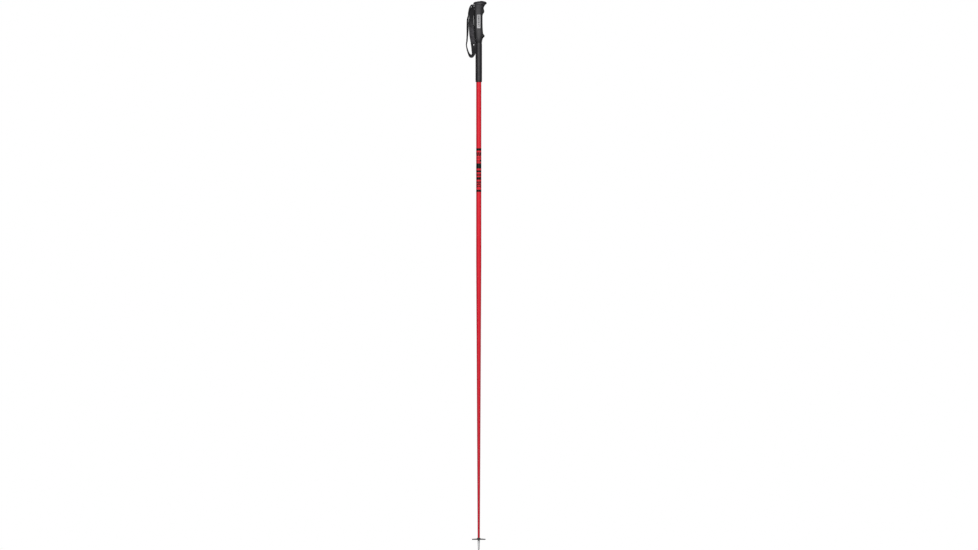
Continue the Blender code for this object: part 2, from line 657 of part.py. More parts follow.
# ----------------------------------------------------------- tip and basket
def build_tip():
    turned("tip_ferrule", [
        # spigot inside the shaft
        (0, 57.0), (1.2, 57.0), (SPIGOT_R, 55.5), (SPIGOT_R, FERRULE_SHOULDER_Z),
        # shoulder and basket groove
        (FERRULE_R, FERRULE_SHOULDER_Z), (FERRULE_R, GROOVE_Z[1]), (GROOVE_R, GROOVE_Z[1]),
        (GROOVE_R, GROOVE_Z[0]), (FERRULE_R, GROOVE_Z[0]),
        # tapered nose
        (2.85, 24.6), (2.85, 23.6), (2.15, 3.0), (1.95, 2.0),
        # socket of the insert
        (SOCKET_R, 2.0), (SOCKET_R, INSERT_Z1 + FIT), (0, INSERT_Z1 + FIT),
    ], steel, steps=28, closed=False)
    turned("tip_insert", [
        (0, INSERT_Z1), (INSERT_R, INSERT_Z1), (INSERT_R, INSERT_CHAMFER[1]),
        (INSERT_R - INSERT_CHAMFER[0], 0.0), (0, 0),
    ], hard_steel, steps=24, closed=False)


def basket_window(start, stop, steps=6):
    """The outline of one opening of the basket, between two angles in degrees."""
    inner, outer = WINDOW_RADII
    inner_angles = (start + WINDOW_PINCH, (start + stop) / 2, stop - WINDOW_PINCH)
    return ([polar(inner, angle) for angle in inner_angles]
            + [polar(outer, stop - (stop - start) * k / steps) for k in range(steps + 1)])


def build_basket():
    pivot = empty("basket_pivot", (0, 0, BASKET_Z))
    basket = turned("basket", [
        # hub and upper face
        (3.45, HUB_TOP), (3.75, 3.0), (3.95, 1.9), (4.6, 1.55), (8.0, 1.25), (13.0, 0.75),
        # rim
        (16.6, 0.25), (BASKET_R, -0.3), (BASKET_R, -1.1), (BASKET_R - 0.4, -1.5),
        # lower face
        (15.4, -1.1), (9.0, -0.75), (5.0, -0.8), (4.2, HUB_BOTTOM),
        # bore, with the lip that sits in the ferrule's groove
        (LIP_BORE_R, HUB_BOTTOM), (LIP_BORE_R, LIP_TOP), (HUB_BORE_R, LIP_TOP),
        (HUB_BORE_R, HUB_TOP),
    ], basket_black, steps=40, parent=pivot)
    for k in range(WINDOWS):
        outline = basket_window(WINDOW_PITCH * k + WINDOW_MARGIN,
                                WINDOW_PITCH * (k + 1) - WINDOW_MARGIN)
        modify(basket, outline_plate(f"cut_basket_window_{k}", [outline], WINDOW_CUT,
                                     at=(0, 0, BASKET_Z), turn=(0, 0, 0), collection=cutters))


# -------------------------------------------------------------------- scene
for old in list(bpy.data.objects):
    bpy.data.objects.remove(old)

pole = bpy.data.collections.new("ski_pole")
cutters = bpy.data.collections.new("cutters")
bpy.context.scene.collection.children.link(pole)
bpy.context.scene.collection.children.link(cutters)

red_paint = material("red_paint", colour=(0.70, 0.028, 0.045), roughness=0.38)
charcoal = material("grip_charcoal", colour=(0.045, 0.045, 0.048), roughness=0.62)
soft_black = material("soft_black_rubber", colour=(0.018, 0.018, 0.019), roughness=0.78)
sleeve_black = material("sleeve_black_rubber", colour=(0.032, 0.032, 0.034), roughness=0.7)
badge_grey = material("badge_grey", colour=(0.45, 0.45, 0.46), roughness=0.4)
web_black = material("strap_webbing", colour=(0.03, 0.03, 0.032), roughness=0.9)
pad_black = material("wrist_pad_fabric", colour=(0.05, 0.05, 0.053), roughness=0.92)
steel = material("tip_steel", colour=(0.50, 0.50, 0.50), roughness=0.35, metallic=0.9)
hard_steel = material("insert_steel", colour=(0.36, 0.36, 0.37), roughness=0.42, metallic=0.9)
pin_steel = material("pin_steel", colour=(0.55, 0.55, 0.55), roughness=0.3, metallic=1.0)
basket_black = material("basket_plastic", colour=(0.035, 0.04, 0.04), roughness=0.55)
plug_black = material("plug_plastic", colour=(0.06, 0.06, 0.06), roughness=0.7)
wedge_black = material("wedge_plastic", colour=(0.03, 0.03, 0.032), roughness=0.5)

build_shaft()
build_plug()
build_grip_shell()
build_soft_pads()
build_grip_cap()
build_badges()
build_collar_and_sleeve()
build_anchor_pin()
build_strap_tail()
build_wedge()
build_wrist_strap()
build_tip()
build_basket()
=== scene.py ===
"""The looks of a ski pole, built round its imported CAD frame.

Mesh code works in millimetres, which are scaled once as a mesh is made; the
studio is in metres. +Z runs up the shaft, +X is the finger side of the grip, and
the wrist strap hangs on the -X side.
"""

import math

import bmesh
import bpy
import numpy as np
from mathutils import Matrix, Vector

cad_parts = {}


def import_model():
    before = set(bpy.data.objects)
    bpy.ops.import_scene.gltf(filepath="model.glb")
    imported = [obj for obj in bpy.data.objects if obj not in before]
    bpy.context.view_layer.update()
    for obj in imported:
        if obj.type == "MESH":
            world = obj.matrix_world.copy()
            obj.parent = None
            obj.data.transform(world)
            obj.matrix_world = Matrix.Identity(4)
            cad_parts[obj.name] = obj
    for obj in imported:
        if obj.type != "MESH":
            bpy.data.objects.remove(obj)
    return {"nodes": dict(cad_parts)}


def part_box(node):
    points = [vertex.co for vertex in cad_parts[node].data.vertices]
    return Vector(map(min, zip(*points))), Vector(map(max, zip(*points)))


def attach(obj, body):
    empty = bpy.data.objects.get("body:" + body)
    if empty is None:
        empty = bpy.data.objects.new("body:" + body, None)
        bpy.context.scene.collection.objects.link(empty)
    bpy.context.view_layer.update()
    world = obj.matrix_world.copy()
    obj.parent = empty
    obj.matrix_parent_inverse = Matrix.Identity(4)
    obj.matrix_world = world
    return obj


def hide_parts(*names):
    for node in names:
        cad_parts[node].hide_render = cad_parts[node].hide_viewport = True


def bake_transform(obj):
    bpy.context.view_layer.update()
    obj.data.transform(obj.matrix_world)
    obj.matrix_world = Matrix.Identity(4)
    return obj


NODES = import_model()["nodes"]
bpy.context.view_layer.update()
MM = 0.001


def box_mm(node):
    low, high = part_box(node)
    return [c / MM for c in low], [c / MM for c in high]


# ---- materials
class Finish:
    """A Principled material built up from procedural layers. A noise's scale is
    per metre, and ranges are (low, high) pairs."""

    def __init__(self, name, colour, rough, metal=0.0):
        self.mat = bpy.data.materials.new(name)
        self.mat.use_nodes = True
        self.tree = self.mat.node_tree
        self.shader = self.tree.nodes["Principled BSDF"]
        self.set("Base Color", (*colour, 1.0))
        self.set("Roughness", rough)
        self.set("Metallic", metal)
        self.coords = self.node("ShaderNodeTexCoord").outputs["Object"]
        self.colour = None
        self.normal = None

    def set(self, name, value):
        self.shader.inputs[name].default_value = value
        return self

    def node(self, kind, **values):
        made = self.tree.nodes.new(kind)
        for key, value in values.items():
            setattr(made, key, value)
        return made

    def join(self, out, into):
        self.tree.links.new(out, into)

    def maths(self, kind, first, second=None, clamp=False):
        made = self.node("ShaderNodeMath", operation=kind, use_clamp=clamp)
        for socket, value in zip(made.inputs, (first, second)):
            if value is None:
                continue
            if isinstance(value, (int, float)):
                socket.default_value = value
            else:
                self.join(value, socket)
        return made.outputs[0]

    def times(self, first, second):
        return self.maths("MULTIPLY", first, second)

    def axis(self, name):
        parts = self.node("ShaderNodeSeparateXYZ")
        self.join(self.coords, parts.inputs[0])
        return parts.outputs[name]

    def noise(self, scale, detail=3.0, rough=0.55, stretch=None):
        """Noise, with each axis scaled by stretch."""
        vector = self.coords
        if stretch:
            mapping = self.node("ShaderNodeMapping")
            mapping.inputs["Scale"].default_value = stretch
            self.join(vector, mapping.inputs["Vector"])
            vector = mapping.outputs[0]
        made = self.node("ShaderNodeTexNoise")
        made.inputs["Scale"].default_value = scale
        made.inputs["Detail"].default_value = detail
        made.inputs["Roughness"].default_value = rough
        self.join(vector, made.inputs["Vector"])
        return made.outputs["Fac"]

    def remap(self, value, over, to=(0.0, 1.0)):
        made = self.node("ShaderNodeMapRange", clamp=True)
        for key, number in zip(("From Min", "From Max", "To Min", "To Max"), (*over, *to)):
            made.inputs[key].default_value = number
        self.join(value, made.inputs["Value"])
        return made.outputs["Result"]

    def spots(self, over, to=(0.0, 1.0), **noise):
        return self.remap(self.noise(**noise), over, to)

    def paint(self, factor, colour):
        """Mixes colour over what is there by factor."""
        made = self.node("ShaderNodeMix", data_type="RGBA")
        if self.colour is None:
            made.inputs["A"].default_value = self.shader.inputs["Base Color"].default_value[:]
        else:
            self.join(self.colour, made.inputs["A"])
        made.inputs["B"].default_value = (*colour, 1.0)
        self.join(factor, made.inputs["Factor"])
        self.colour = made.outputs["Result"]
        self.join(self.colour, self.shader.inputs["Base Color"])

    def mottle(self, scale, dark, light, amount):
        """Slow variation between two colours."""
        field = self.noise(scale, detail=4.0)
        self.paint(self.remap(field, over=(0.35, 0.68), to=(0.0, amount)), light)
        self.paint(self.remap(field, over=(0.32, 0.60), to=(amount, 0.0)), dark)

    def roughen(self, factor, to):
        """Roughness across a range by a 0 to 1 factor."""
        self.join(self.remap(factor, over=(0.0, 1.0), to=to), self.shader.inputs["Roughness"])

    def relief(self, height, depth_mm, strength):
        """Bump from a 0 to 1 height; layers stack."""
        made = self.node("ShaderNodeBump")
        made.inputs["Strength"].default_value = strength
        made.inputs["Distance"].default_value = depth_mm * MM
        self.join(height, made.inputs["Height"])
        if self.normal is not None:
            self.join(self.normal, made.inputs["Normal"])
        self.normal = made.outputs["Normal"]
        self.join(self.normal, self.shader.inputs["Normal"])

    def worn(self, colour, amount=0.5):
        """Lighter, polished places on convex edges."""
        edge = self.node("ShaderNodeNewGeometry").outputs["Pointiness"]
        edge = self.remap(edge, over=(0.53, 0.60))
        broken = self.spots(over=(0.35, 0.62), scale=700, detail=4)
        self.paint(self.times(self.times(edge, broken), amount), colour)

    def below(self, z_mm, fade_mm):
        """1 below a height, fading to 0 above it."""
        return self.remap(self.axis("Z"), over=(z_mm * MM, (z_mm + fade_mm) * MM), to=(1.0, 0.0))


def dimmed(colour, share):
    return tuple(c * share for c in colour)


def red_lacquer():
    f = Finish("red_lacquer", colour=(0.80, 0.018, 0.036), rough=0.36)
    f.mottle(scale=22, dark=(0.76, 0.015, 0.031), light=(0.84, 0.021, 0.042), amount=0.6)
    # painted shade: the colour deepens towards the tip
    f.paint(f.times(f.below(z_mm=30, fade_mm=760), 0.62), colour=(0.42, 0.010, 0.028))
    flake = f.spots(over=(0.60, 0.72), scale=9000, detail=1, rough=0.4)
    f.paint(f.times(flake, 0.10), colour=(0.95, 0.10, 0.12))
    # scuffs get denser towards the snow
    marks = f.spots(over=(0.66, 0.72), scale=260, detail=6, rough=0.7, stretch=(5.0, 5.0, 0.35))
    low = f.maths("ADD", f.below(z_mm=60, fade_mm=500), 0.12, clamp=True)
    f.paint(f.times(f.times(marks, low), 0.35), colour=(0.50, 0.06, 0.07))
    f.roughen(f.noise(scale=60, detail=4), to=(0.30, 0.48))
    f.relief(f.noise(scale=700, detail=2), depth_mm=0.010, strength=0.35)
    f.set("Coat Weight", 0.05).set("Coat Roughness", 0.20).set("Specular IOR Level", 0.16)
    return f.mat


def print_black():
    f = Finish("print_black", colour=(0.0045, 0.004, 0.005), rough=0.50)
    f.mottle(scale=300, dark=(0.003, 0.003, 0.0035), light=(0.008, 0.007, 0.0075), amount=0.8)
    f.set("Specular IOR Level", 0.22)
    f.roughen(f.noise(scale=500), to=(0.42, 0.60))
    f.relief(f.noise(scale=3000, detail=2), depth_mm=0.004, strength=0.3)
    return f.mat


def moulded(name, colour, light, dark, rough=(0.44, 0.60)):
    """The Finish of moulded plastic with a spark-eroded grain."""
    f = Finish(name, colour, rough[1])
    f.mottle(scale=45, dark=dark, light=light, amount=0.55)
    f.roughen(f.noise(scale=120, detail=5), to=rough)
    cells = f.node("ShaderNodeTexVoronoi")
    cells.inputs["Scale"].default_value = 2300
    f.join(f.coords, cells.inputs["Vector"])
    f.relief(f.maths("SUBTRACT", 1.0, cells.outputs["Distance"]), depth_mm=0.03, strength=0.55)
    f.relief(f.noise(scale=805, detail=4), depth_mm=0.024, strength=0.4)
    f.worn(light)
    return f


def rubber(name, colour, dust, rough):
    """Soft-touch rubber with a little dust in its pores."""
    f = Finish(name, colour, rough[1])
    f.mottle(scale=70, dark=dimmed(colour, 0.75), light=dust, amount=0.35)
    pores = f.spots(over=(0.30, 0.46), to=(1.0, 0.0), scale=3200, rough=0.6)
    f.paint(f.times(pores, 0.18), dust)
    f.roughen(f.noise(scale=180, detail=5), to=rough)
    f.relief(f.noise(scale=3200, rough=0.6), depth_mm=0.03, strength=0.5)
    f.relief(f.noise(scale=384), depth_mm=0.03, strength=0.25)
    f.worn(dimmed(colour, 2.2), amount=0.35)
    return f.mat


def turned_metal(name, colour, rough=(0.26, 0.42), lines=5200, metal=0.85):
    """Turned steel: fine rings round the axis, with small stains and nicks."""
    f = Finish(name, colour, rough[1], metal)
    rings = f.noise(scale=lines, detail=2, rough=0.6, stretch=(0.02, 0.02, 1.0))
    f.paint(f.times(f.remap(rings, over=(0.4, 0.7)), 0.25), dimmed(colour, 0.72))
    stain = f.spots(over=(0.58, 0.74), scale=420, detail=5, rough=0.7)
    f.paint(f.times(stain, 0.30), dimmed(colour, 0.55))
    f.roughen(f.noise(scale=900, rough=0.6, stretch=(0.1, 0.1, 1.0)), to=rough)
    f.relief(rings, depth_mm=0.006, strength=0.5)
    f.relief(f.spots(over=(0.62, 0.70), scale=1500), depth_mm=0.02, strength=0.4)
    return f.mat


def yarn(name, colour, light, dark, fuzz, scale=5200, shade_and_highlight_attribute=None, painted_shade_above=None):
    """Dyed yarn: fibres, slow mottling and a soft sheen. shade_and_highlight_attribute names a
    mesh attribute that is 0 between the cords, where shade is painted, and high on the cords'
    tops, where a highlight is painted; painted_shade_above is a height and a fade in mm over
    which the cloth turns darker with painted shade."""
    f = Finish(name, colour, rough=0.86)
    f.mottle(scale=55, dark=dark, light=light, amount=0.7)
    fibre = f.noise(scale=scale, detail=4, rough=0.7)
    f.paint(f.remap(fibre, over=(0.48, 0.72), to=(0.0, 0.45)), light)
    f.paint(f.remap(fibre, over=(0.44, 0.28), to=(0.0, 0.5)), dark)
    # painted shade: the cloth turns darker above a height
    if painted_shade_above:
        f.paint(f.maths("SUBTRACT", 1.0, f.below(*painted_shade_above)), dimmed(colour, 0.38))
    # painted shade between the cords and a painted highlight on the cords' tops
    if shade_and_highlight_attribute:
        cords = f.node("ShaderNodeAttribute", attribute_name=shade_and_highlight_attribute).outputs["Fac"]
        f.paint(f.remap(cords, over=(0.55, 0.05), to=(0.0, 0.75)), dimmed(dark, 0.35))
        f.paint(f.remap(cords, over=(0.75, 1.0), to=(0.0, 0.35)), light)
    f.roughen(f.noise(scale=900, detail=4), to=(0.66, 0.88))
    f.relief(fibre, depth_mm=0.05, strength=0.6)
    f.set("Sheen Weight", fuzz).set("Sheen Roughness", 0.45)
    f.set("Sheen Tint", (*[min(1.0, c * 4 + 0.1) for c in colour], 1.0))
    return f.mat


def satin_badge():
    f = Finish("badge_satin", colour=(0.46, 0.46, 0.47), rough=0.34)
    brushed = f.noise(scale=2600, detail=2, rough=0.6, stretch=(1.0, 1.0, 0.03))
    f.paint(f.remap(brushed, over=(0.35, 0.7), to=(0.0, 0.35)), colour=(0.57, 0.57, 0.58))
    f.mottle(scale=120, dark=(0.41, 0.41, 0.42), light=(0.51, 0.51, 0.52), amount=0.4)
    f.roughen(brushed, to=(0.26, 0.44))
    f.relief(brushed, depth_mm=0.006, strength=0.4)
    f.worn((0.74, 0.74, 0.75))
    return f.mat


GRIP_TONES = dict(colour=(0.027, 0.0255, 0.029), light=(0.040, 0.038, 0.043),
                  dark=(0.019, 0.018, 0.020), rough=(0.40, 0.54))


def dark_beak_tip_cap():
    """The grip's charcoal, with the tip of the cap's beak in near-black."""
    f = moulded("grip_cap_charcoal", **GRIP_TONES)
    parts = f.node("ShaderNodeSeparateXYZ")
    f.join(f.coords, parts.inputs[0])
    beside = f.times(f.maths("ABSOLUTE", parts.outputs["Y"]), 0.25)
    nose = f.maths("SUBTRACT", parts.outputs["X"], beside)
    # the tip of the beak goes near-black
    f.paint(f.remap(nose, over=(13.2 * MM, 13.8 * MM)), colour=(0.007, 0.007, 0.0075))
    return f.mat


RED = red_lacquer()
PRINT = print_black()
CHARCOAL = moulded("grip_charcoal", **GRIP_TONES).mat
CAP_PLASTIC = dark_beak_tip_cap()
BLACK_RUBBER = rubber("soft_black", colour=(0.009, 0.009, 0.0095), dust=(0.026, 0.026, 0.028),
                      rough=(0.50, 0.68))
SLEEVE_RUBBER = rubber("sleeve_black", colour=(0.023, 0.0212, 0.0243),
                       dust=(0.042, 0.0395, 0.0445), rough=(0.40, 0.54))
WEDGE = moulded("wedge_black", colour=(0.014, 0.014, 0.015), light=(0.026, 0.026, 0.028),
                dark=(0.010, 0.010, 0.0105)).mat
BASKET = moulded("basket_black", colour=(0.018, 0.020, 0.0205), light=(0.032, 0.036, 0.037),
                 dark=(0.012, 0.013, 0.0135), rough=(0.36, 0.52)).mat
PLUG = moulded("plug_grey", colour=(0.10, 0.10, 0.10), light=(0.13, 0.13, 0.13),
               dark=(0.08, 0.08, 0.08)).mat
BADGE = satin_badge()
MARKS = moulded("badge_marks", colour=(0.050, 0.050, 0.053), light=(0.070, 0.070, 0.074),
                dark=(0.036, 0.036, 0.038)).mat
# the weave attribute carries painted shade between the cords and a painted highlight on their
# tops
WEB = yarn("strap_webbing", colour=(0.021, 0.0198, 0.0225), light=(0.044, 0.0418, 0.047),
           dark=(0.011, 0.0104, 0.0117), fuzz=0.14, shade_and_highlight_attribute="weave")
# the pad's darker top is painted shade
PAD = yarn("pad_knit", colour=(0.043, 0.0408, 0.0457), light=(0.070, 0.0665, 0.0745),
           dark=(0.028, 0.0267, 0.0293), fuzz=0.2, painted_shade_above=(1318.0, 42.0))
BINDING = yarn("pad_binding", colour=(0.014, 0.014, 0.015), light=(0.028, 0.028, 0.030),
               dark=(0.008, 0.008, 0.0085), fuzz=0.15)
THREAD = yarn("stitch_thread", colour=(0.060, 0.060, 0.063), light=(0.12, 0.12, 0.125),
              dark=(0.035, 0.035, 0.037), fuzz=0.1, scale=9000)
STEEL = turned_metal("tip_steel", colour=(0.84, 0.84, 0.85), rough=(0.34, 0.50), metal=0.5)
INSERT = turned_metal("insert_steel", colour=(0.42, 0.42, 0.43), lines=8000)
PIN = turned_metal("pin_steel", colour=(0.6, 0.6, 0.6))


# ---- mesh helpers
def mesh_object(name, verts, faces, scale):
    mesh = bpy.data.meshes.new(name)
    mesh.from_pydata([tuple(float(c) * scale for c in v) for v in verts], [], faces)
    obj = bpy.data.objects.new(name, mesh)
    bpy.context.scene.collection.objects.link(obj)
    return obj


def solid(name, verts, faces):
    """A closed mesh object from millimetres, its faces turned outwards."""
    obj = mesh_object(name, verts, faces, MM)
    edit = bmesh.new()
    edit.from_mesh(obj.data)
    bmesh.ops.recalc_face_normals(edit, faces=edit.faces)
    edit.to_mesh(obj.data)
    edit.free()
    return obj


def dress(obj, mat, sharp, body=None, stands_for=()):
    obj.data.materials.clear()
    obj.data.materials.append(mat)
    obj.data.shade_smooth()
    obj.data.set_sharp_from_angle(angle=math.radians(sharp))
    if body:
        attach(obj, body)
    if stands_for:
        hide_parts(*stands_for)


def rounded(corners, steps=4):
    """A closed outline with rounded corners, from (x, y, radius) triples."""
    out = []
    for i, (*point, radius) in enumerate(corners):
        if radius <= 0:
            out.append(tuple(point))
            continue
        here = np.array(point, float)
        back = np.array(corners[i - 1][:2], float) - here
        ahead = np.array(corners[(i + 1) % len(corners)][:2], float) - here
        back_length, ahead_length = np.linalg.norm(back), np.linalg.norm(ahead)
        cosine = float(np.clip(back @ ahead / (back_length * ahead_length), -1, 1))
        half = math.acos(cosine) / 2
        if math.pi / 2 - half < math.radians(4):
            out.append(tuple(here))
            continue
        reach = min(radius / math.tan(half), 0.45 * back_length, 0.45 * ahead_length)
        start = here + back / back_length * reach
        end = here + ahead / ahead_length * reach
        for k in range(steps + 1):
            t = k / steps
            out.append(tuple((1 - t) ** 2 * start + 2 * t * (1 - t) * here + t * t * end))
    return out


def turned(name, corners, steps=96, closed=True, arc=4):
    """A solid turned round Z from (radius, z, rounding) corners."""
    verts, rows = [], []
    for radius, z in rounded(corners, arc):
        if radius < 1e-9:
            rows.append([len(verts)])
            verts.append((0.0, 0.0, z))
            continue
        rows.append(list(range(len(verts), len(verts) + steps)))
        for k in range(steps):
            angle = 2 * math.pi * k / steps
            verts.append((radius * math.cos(angle), radius * math.sin(angle), z))
    pairs = list(zip(rows, rows[1:])) + ([(rows[-1], rows[0])] if closed else [])
    faces = []
    for up, down in pairs:
        for k in range(steps):
            j = (k + 1) % steps
            if len(up) == 1:
                faces.append((up[0], down[k], down[j]))
            elif len(down) == 1:
                faces.append((up[k], down[0], up[j]))
            else:
                faces.append((up[k], down[k], down[j], up[j]))
    return solid(name, verts, faces)


def ring_faces(rings, count, closed=False):
    """Quads between successive rings of count vertices."""
    faces = []
    for i in range(rings if closed else rings - 1):
        j = (i + 1) % rings
        faces += [(i * count + k, i * count + (k + 1) % count, j * count + (k + 1) % count,
                   j * count + k) for k in range(count)]
    return faces


def stacked(rings, apex=None):
    """Verts and faces of a skin through rings of equal counts, closed at its ends."""
    count = len(rings[0])
    verts = [p for ring in rings for p in ring]
    faces = ring_faces(len(rings), count) + [tuple(range(count))[::-1]]
    top = len(verts) - count
    if apex is None:
        faces.append(tuple(range(top, top + count)))
    else:
        faces += [(top + k, top + (k + 1) % count, len(verts)) for k in range(count)]
        verts.append(apex)
    return verts, faces


def grid_quads(rows, columns):
    return [(a, a + columns, a + columns + 1, a + 1)
            for row in range(rows - 1) for a in range(row * columns, (row + 1) * columns - 1)]


def shell_faces(rows, columns, turn_over):
    """Faces of a shell whose two sides are equal grids, one after the other."""
    total = rows * columns
    grid = np.arange(total).reshape(rows, columns)
    quads = grid_quads(rows, columns)
    if turn_over:
        quads = [quad[:1] + quad[:0:-1] for quad in quads]
    else:
        grid = grid.T
    faces = []
    for a, b, c, d in quads:
        faces += [(a, b, c, d), (a + total, d + total, c + total, b + total)]
    rim = [int(i) for i in (*grid[0], *grid[1:, -1], *grid[-1, -2::-1], *grid[-2:0:-1, 0])]
    faces += [(a, a + total, b + total, b) for a, b in zip(rim, rim[1:] + rim[:1])]
    return faces


def joined(parts):
    """One set of verts and faces from several."""
    verts, faces = [], []
    for part_verts, part_faces in parts:
        base = len(verts)
        verts += list(part_verts)
        faces += [tuple(base + i for i in face) for face in part_faces]
    return verts, faces


def apply_modifiers(obj):
    bpy.context.view_layer.update()
    graph = bpy.context.evaluated_depsgraph_get()
    mesh = bpy.data.meshes.new_from_object(obj.evaluated_get(graph))
    obj.modifiers.clear()
    obj.data = mesh


def combine(obj, others, operation="DIFFERENCE"):
    """Applies Booleans of obj with others, then removes them."""
    for other in others:
        mod = obj.modifiers.new("b", "BOOLEAN")
        mod.operation, mod.solver, mod.object = operation, "EXACT", other
    apply_modifiers(obj)
    for other in others:
        bpy.data.objects.remove(other)
    edit = bmesh.new()
    edit.from_mesh(obj.data)
    bmesh.ops.remove_doubles(edit, verts=edit.verts, dist=2e-6)
    bmesh.ops.dissolve_degenerate(edit, edges=edit.edges, dist=1e-6)
    edit.to_mesh(obj.data)
    edit.free()


def bevelled(obj, width, segments, angle):
    """Rounds the edges of a mesh that are sharper than angle, in degrees."""
    mod = obj.modifiers.new("Edges", "BEVEL")
    mod.width, mod.segments = width * MM, segments
    mod.limit_method, mod.angle_limit = "ANGLE", math.radians(angle)
    mod.use_clamp_overlap = True
    mod.miter_outer = "MITER_ARC"
    apply_modifiers(obj)


def cuboid(name, x_range, y_range, z_range):
    verts = [(x, y, z) for x in x_range for y in y_range for z in z_range]
    faces = [(0, 1, 3, 2), (4, 6, 7, 5), (0, 4, 5, 1), (2, 3, 7, 6), (0, 2, 6, 4), (1, 5, 7, 3)]
    return solid(name, verts, faces)


def drum(name, radius, length, x, z):
    """An upright cylinder with its middle at x and z."""
    top, bottom = length / 2, -length / 2
    obj = turned(name, [(0, top, 0), (radius, top, 0), (radius, bottom, 0), (0, bottom, 0)],
                 steps=64, closed=False)
    for v in obj.data.vertices:
        v.co.x += x * MM
        v.co.z += z * MM
    return obj


def round_rect(width, height, radius):
    steps = 8
    points = []
    for side_u, side_v, start in ((1, 1, 0), (-1, 1, 90), (-1, -1, 180), (1, -1, 270)):
        for k in range(steps + 1):
            angle = math.radians(start + 90 * k / steps)
            points.append((side_u * (width / 2 - radius) + radius * math.cos(angle),
                           side_v * (height / 2 - radius) + radius * math.sin(angle)))
    return points


def prism(outline, low, high, place):
    """Verts and faces of a plate between two depths; place(u, v, depth) gives its
    points."""
    n = len(outline)
    verts = [place(u, v, depth) for depth in (low, high) for u, v in outline]
    faces = [tuple(range(n)), tuple(range(n, 2 * n))[::-1]]
    faces += [(k, k + n, (k + 1) % n + n, (k + 1) % n) for k in range(n)]
    return verts, faces


# ---- grip surface, as tables against height z
# (z, reach of the grip's section towards +X)
FRONT = [
    (1294.6, 8.6), (1296.4, 8.75), (1299, 9.1), (1302, 9.6), (1306, 10), (1311, 10.4),
    (1316, 10.6), (1322, 10.5), (1330, 10), (1340, 9.65), (1350, 9.55), (1360, 9.6),
    (1365, 9.9), (1370, 10.4), (1375.4, 11), (1378, 11.4), (1380.5, 11.9), (1383.1, 12.65),
    (1385.6, 13.9), (1388.2, 15.6), (1390.7, 18.1), (1391.8, 19.3), (1392.8, 20),
    (1393.8, 20.3), (1394.8, 20.3), (1395.8, 19.8), (1396.6, 19), (1397.4, 17.9),
    (1398.1, 16.3), (1398.7, 14.3), (1399.2, 12.4), (1399.6, 10.7), (1399.85, 9)]
# (z, reach towards -X)
REAR = [
    (1294.6, 8.6), (1297, 9), (1300, 9.6), (1304, 10.1), (1310, 10.6), (1320, 11.1),
    (1330, 11.6), (1340, 12), (1350, 12.3), (1360, 12.6), (1370, 12.9), (1380, 13.1),
    (1388, 13.25), (1390.7, 13.3), (1391.8, 13.6), (1392.8, 13.75), (1393.8, 13.8),
    (1394.8, 13.5), (1395.8, 12.6), (1396.6, 11.1), (1397.4, 9.3), (1398.1, 7),
    (1398.7, 4.6), (1399.2, 1.6), (1399.6, -1.6), (1399.85, -3.6)]
# (z, half width along Y)
WIDTH = [
    (1294.6, 8.6), (1297, 8.9), (1300, 9.3), (1305, 9.65), (1315, 9.9), (1330, 10),
    (1360, 10), (1370, 10.2), (1380, 10.5), (1385, 10.8), (1390.7, 11.1), (1391.8, 11.35),
    (1392.8, 11.5), (1393.8, 11.5), (1394.8, 11.2), (1395.8, 10.5), (1396.6, 9.6),
    (1397.4, 8.4), (1398.1, 7.1), (1398.7, 5.8), (1399.2, 4.5), (1399.6, 3), (1399.85, 1.7)]
# (z, exponent of the superellipse)
POWER = [
    (1294.6, 2), (1300, 2.2), (1310, 2.6), (1322, 2.9), (1330, 3), (1366, 3), (1380, 2.7),
    (1390.7, 2.4), (1396, 2.3), (1399.85, 2)]
# (z, share of the width lost towards +X)
NARROW = [
    (1294.6, 0), (1383.1, 0), (1386, 0.12), (1390.7, 0.34), (1395.8, 0.36), (1399.85, 0.2)]
# (z, reach of the finger pad's middle towards +X)
RIDGES = [
    (1300, 9.6), (1301.5, 9.8), (1304.1, 10.6), (1306.6, 12.7), (1308.4, 14.4),
    (1310.4, 15.05), (1311.9, 14.7), (1314.3, 12.9), (1316.8, 11.4), (1319.3, 10.95),
    (1324.4, 10.5), (1329.5, 10.1), (1340, 9.7), (1350, 9.6), (1360, 9.65), (1362.7, 9.8),
    (1365.2, 10.5), (1367.8, 12), (1370.3, 13.55), (1372.9, 14.3), (1375.4, 13.95),
    (1378, 13.1), (1380.5, 12.6), (1383.1, 12.75), (1385.6, 14), (1388.2, 15.7),
    (1389.6, 17.1)]


def smooth(table):
    """A function that runs through the (x, y) pairs of table without overshoot."""
    xs, ys = zip(*table)
    steps = [(ys[i + 1] - ys[i]) / (xs[i + 1] - xs[i]) for i in range(len(xs) - 1)]
    slopes = [steps[0]]
    for a, b in zip(steps, steps[1:]):
        slopes.append(0.0 if a * b <= 0 else 2 * a * b / (a + b))
    slopes.append(steps[-1])

    def value(x):
        x = min(max(x, xs[0]), xs[-1])
        i = 0
        while i < len(xs) - 2 and x > xs[i + 1]:
            i += 1
        span = xs[i + 1] - xs[i]
        t = (x - xs[i]) / span
        return ((2 * t**3 - 3 * t**2 + 1) * ys[i] + (t**3 - 2 * t**2 + t) * span * slopes[i]
                + (-2 * t**3 + 3 * t**2) * ys[i + 1] + (t**3 - t**2) * span * slopes[i + 1])

    return value


front_of, rear_of, width_of = smooth(FRONT), smooth(REAR), smooth(WIDTH)
power_of, narrow_of, ridge_of = smooth(POWER), smooth(NARROW), smooth(RIDGES)


def skin(turn, z, out=0.0):
    """The grip's surface at an angle round its section, in degrees from +X."""
    front, rear = front_of(z), rear_of(z)
    power = power_of(z)
    middle, half = (front - rear) / 2, (front + rear) / 2
    cosine, sine = math.cos(math.radians(turn)), math.sin(math.radians(turn))
    radius = ((abs(cosine) / half) ** power + (abs(sine) / width_of(z)) ** power) ** (-1 / power)
    x, y = (radius + out) * cosine, (radius + out) * sine
    return (middle + x, y * (1 - narrow_of(z) * max(0.0, x / half) ** 1.5), z)


def section(z, inset=0.0, level=None):
    """A ring of the grip's surface at z, moved to another level if given."""
    ring = [skin(360 * k / 120, z, -inset) for k in range(120)]
    return ring if level is None else [(x, y, level) for x, y, _ in ring]


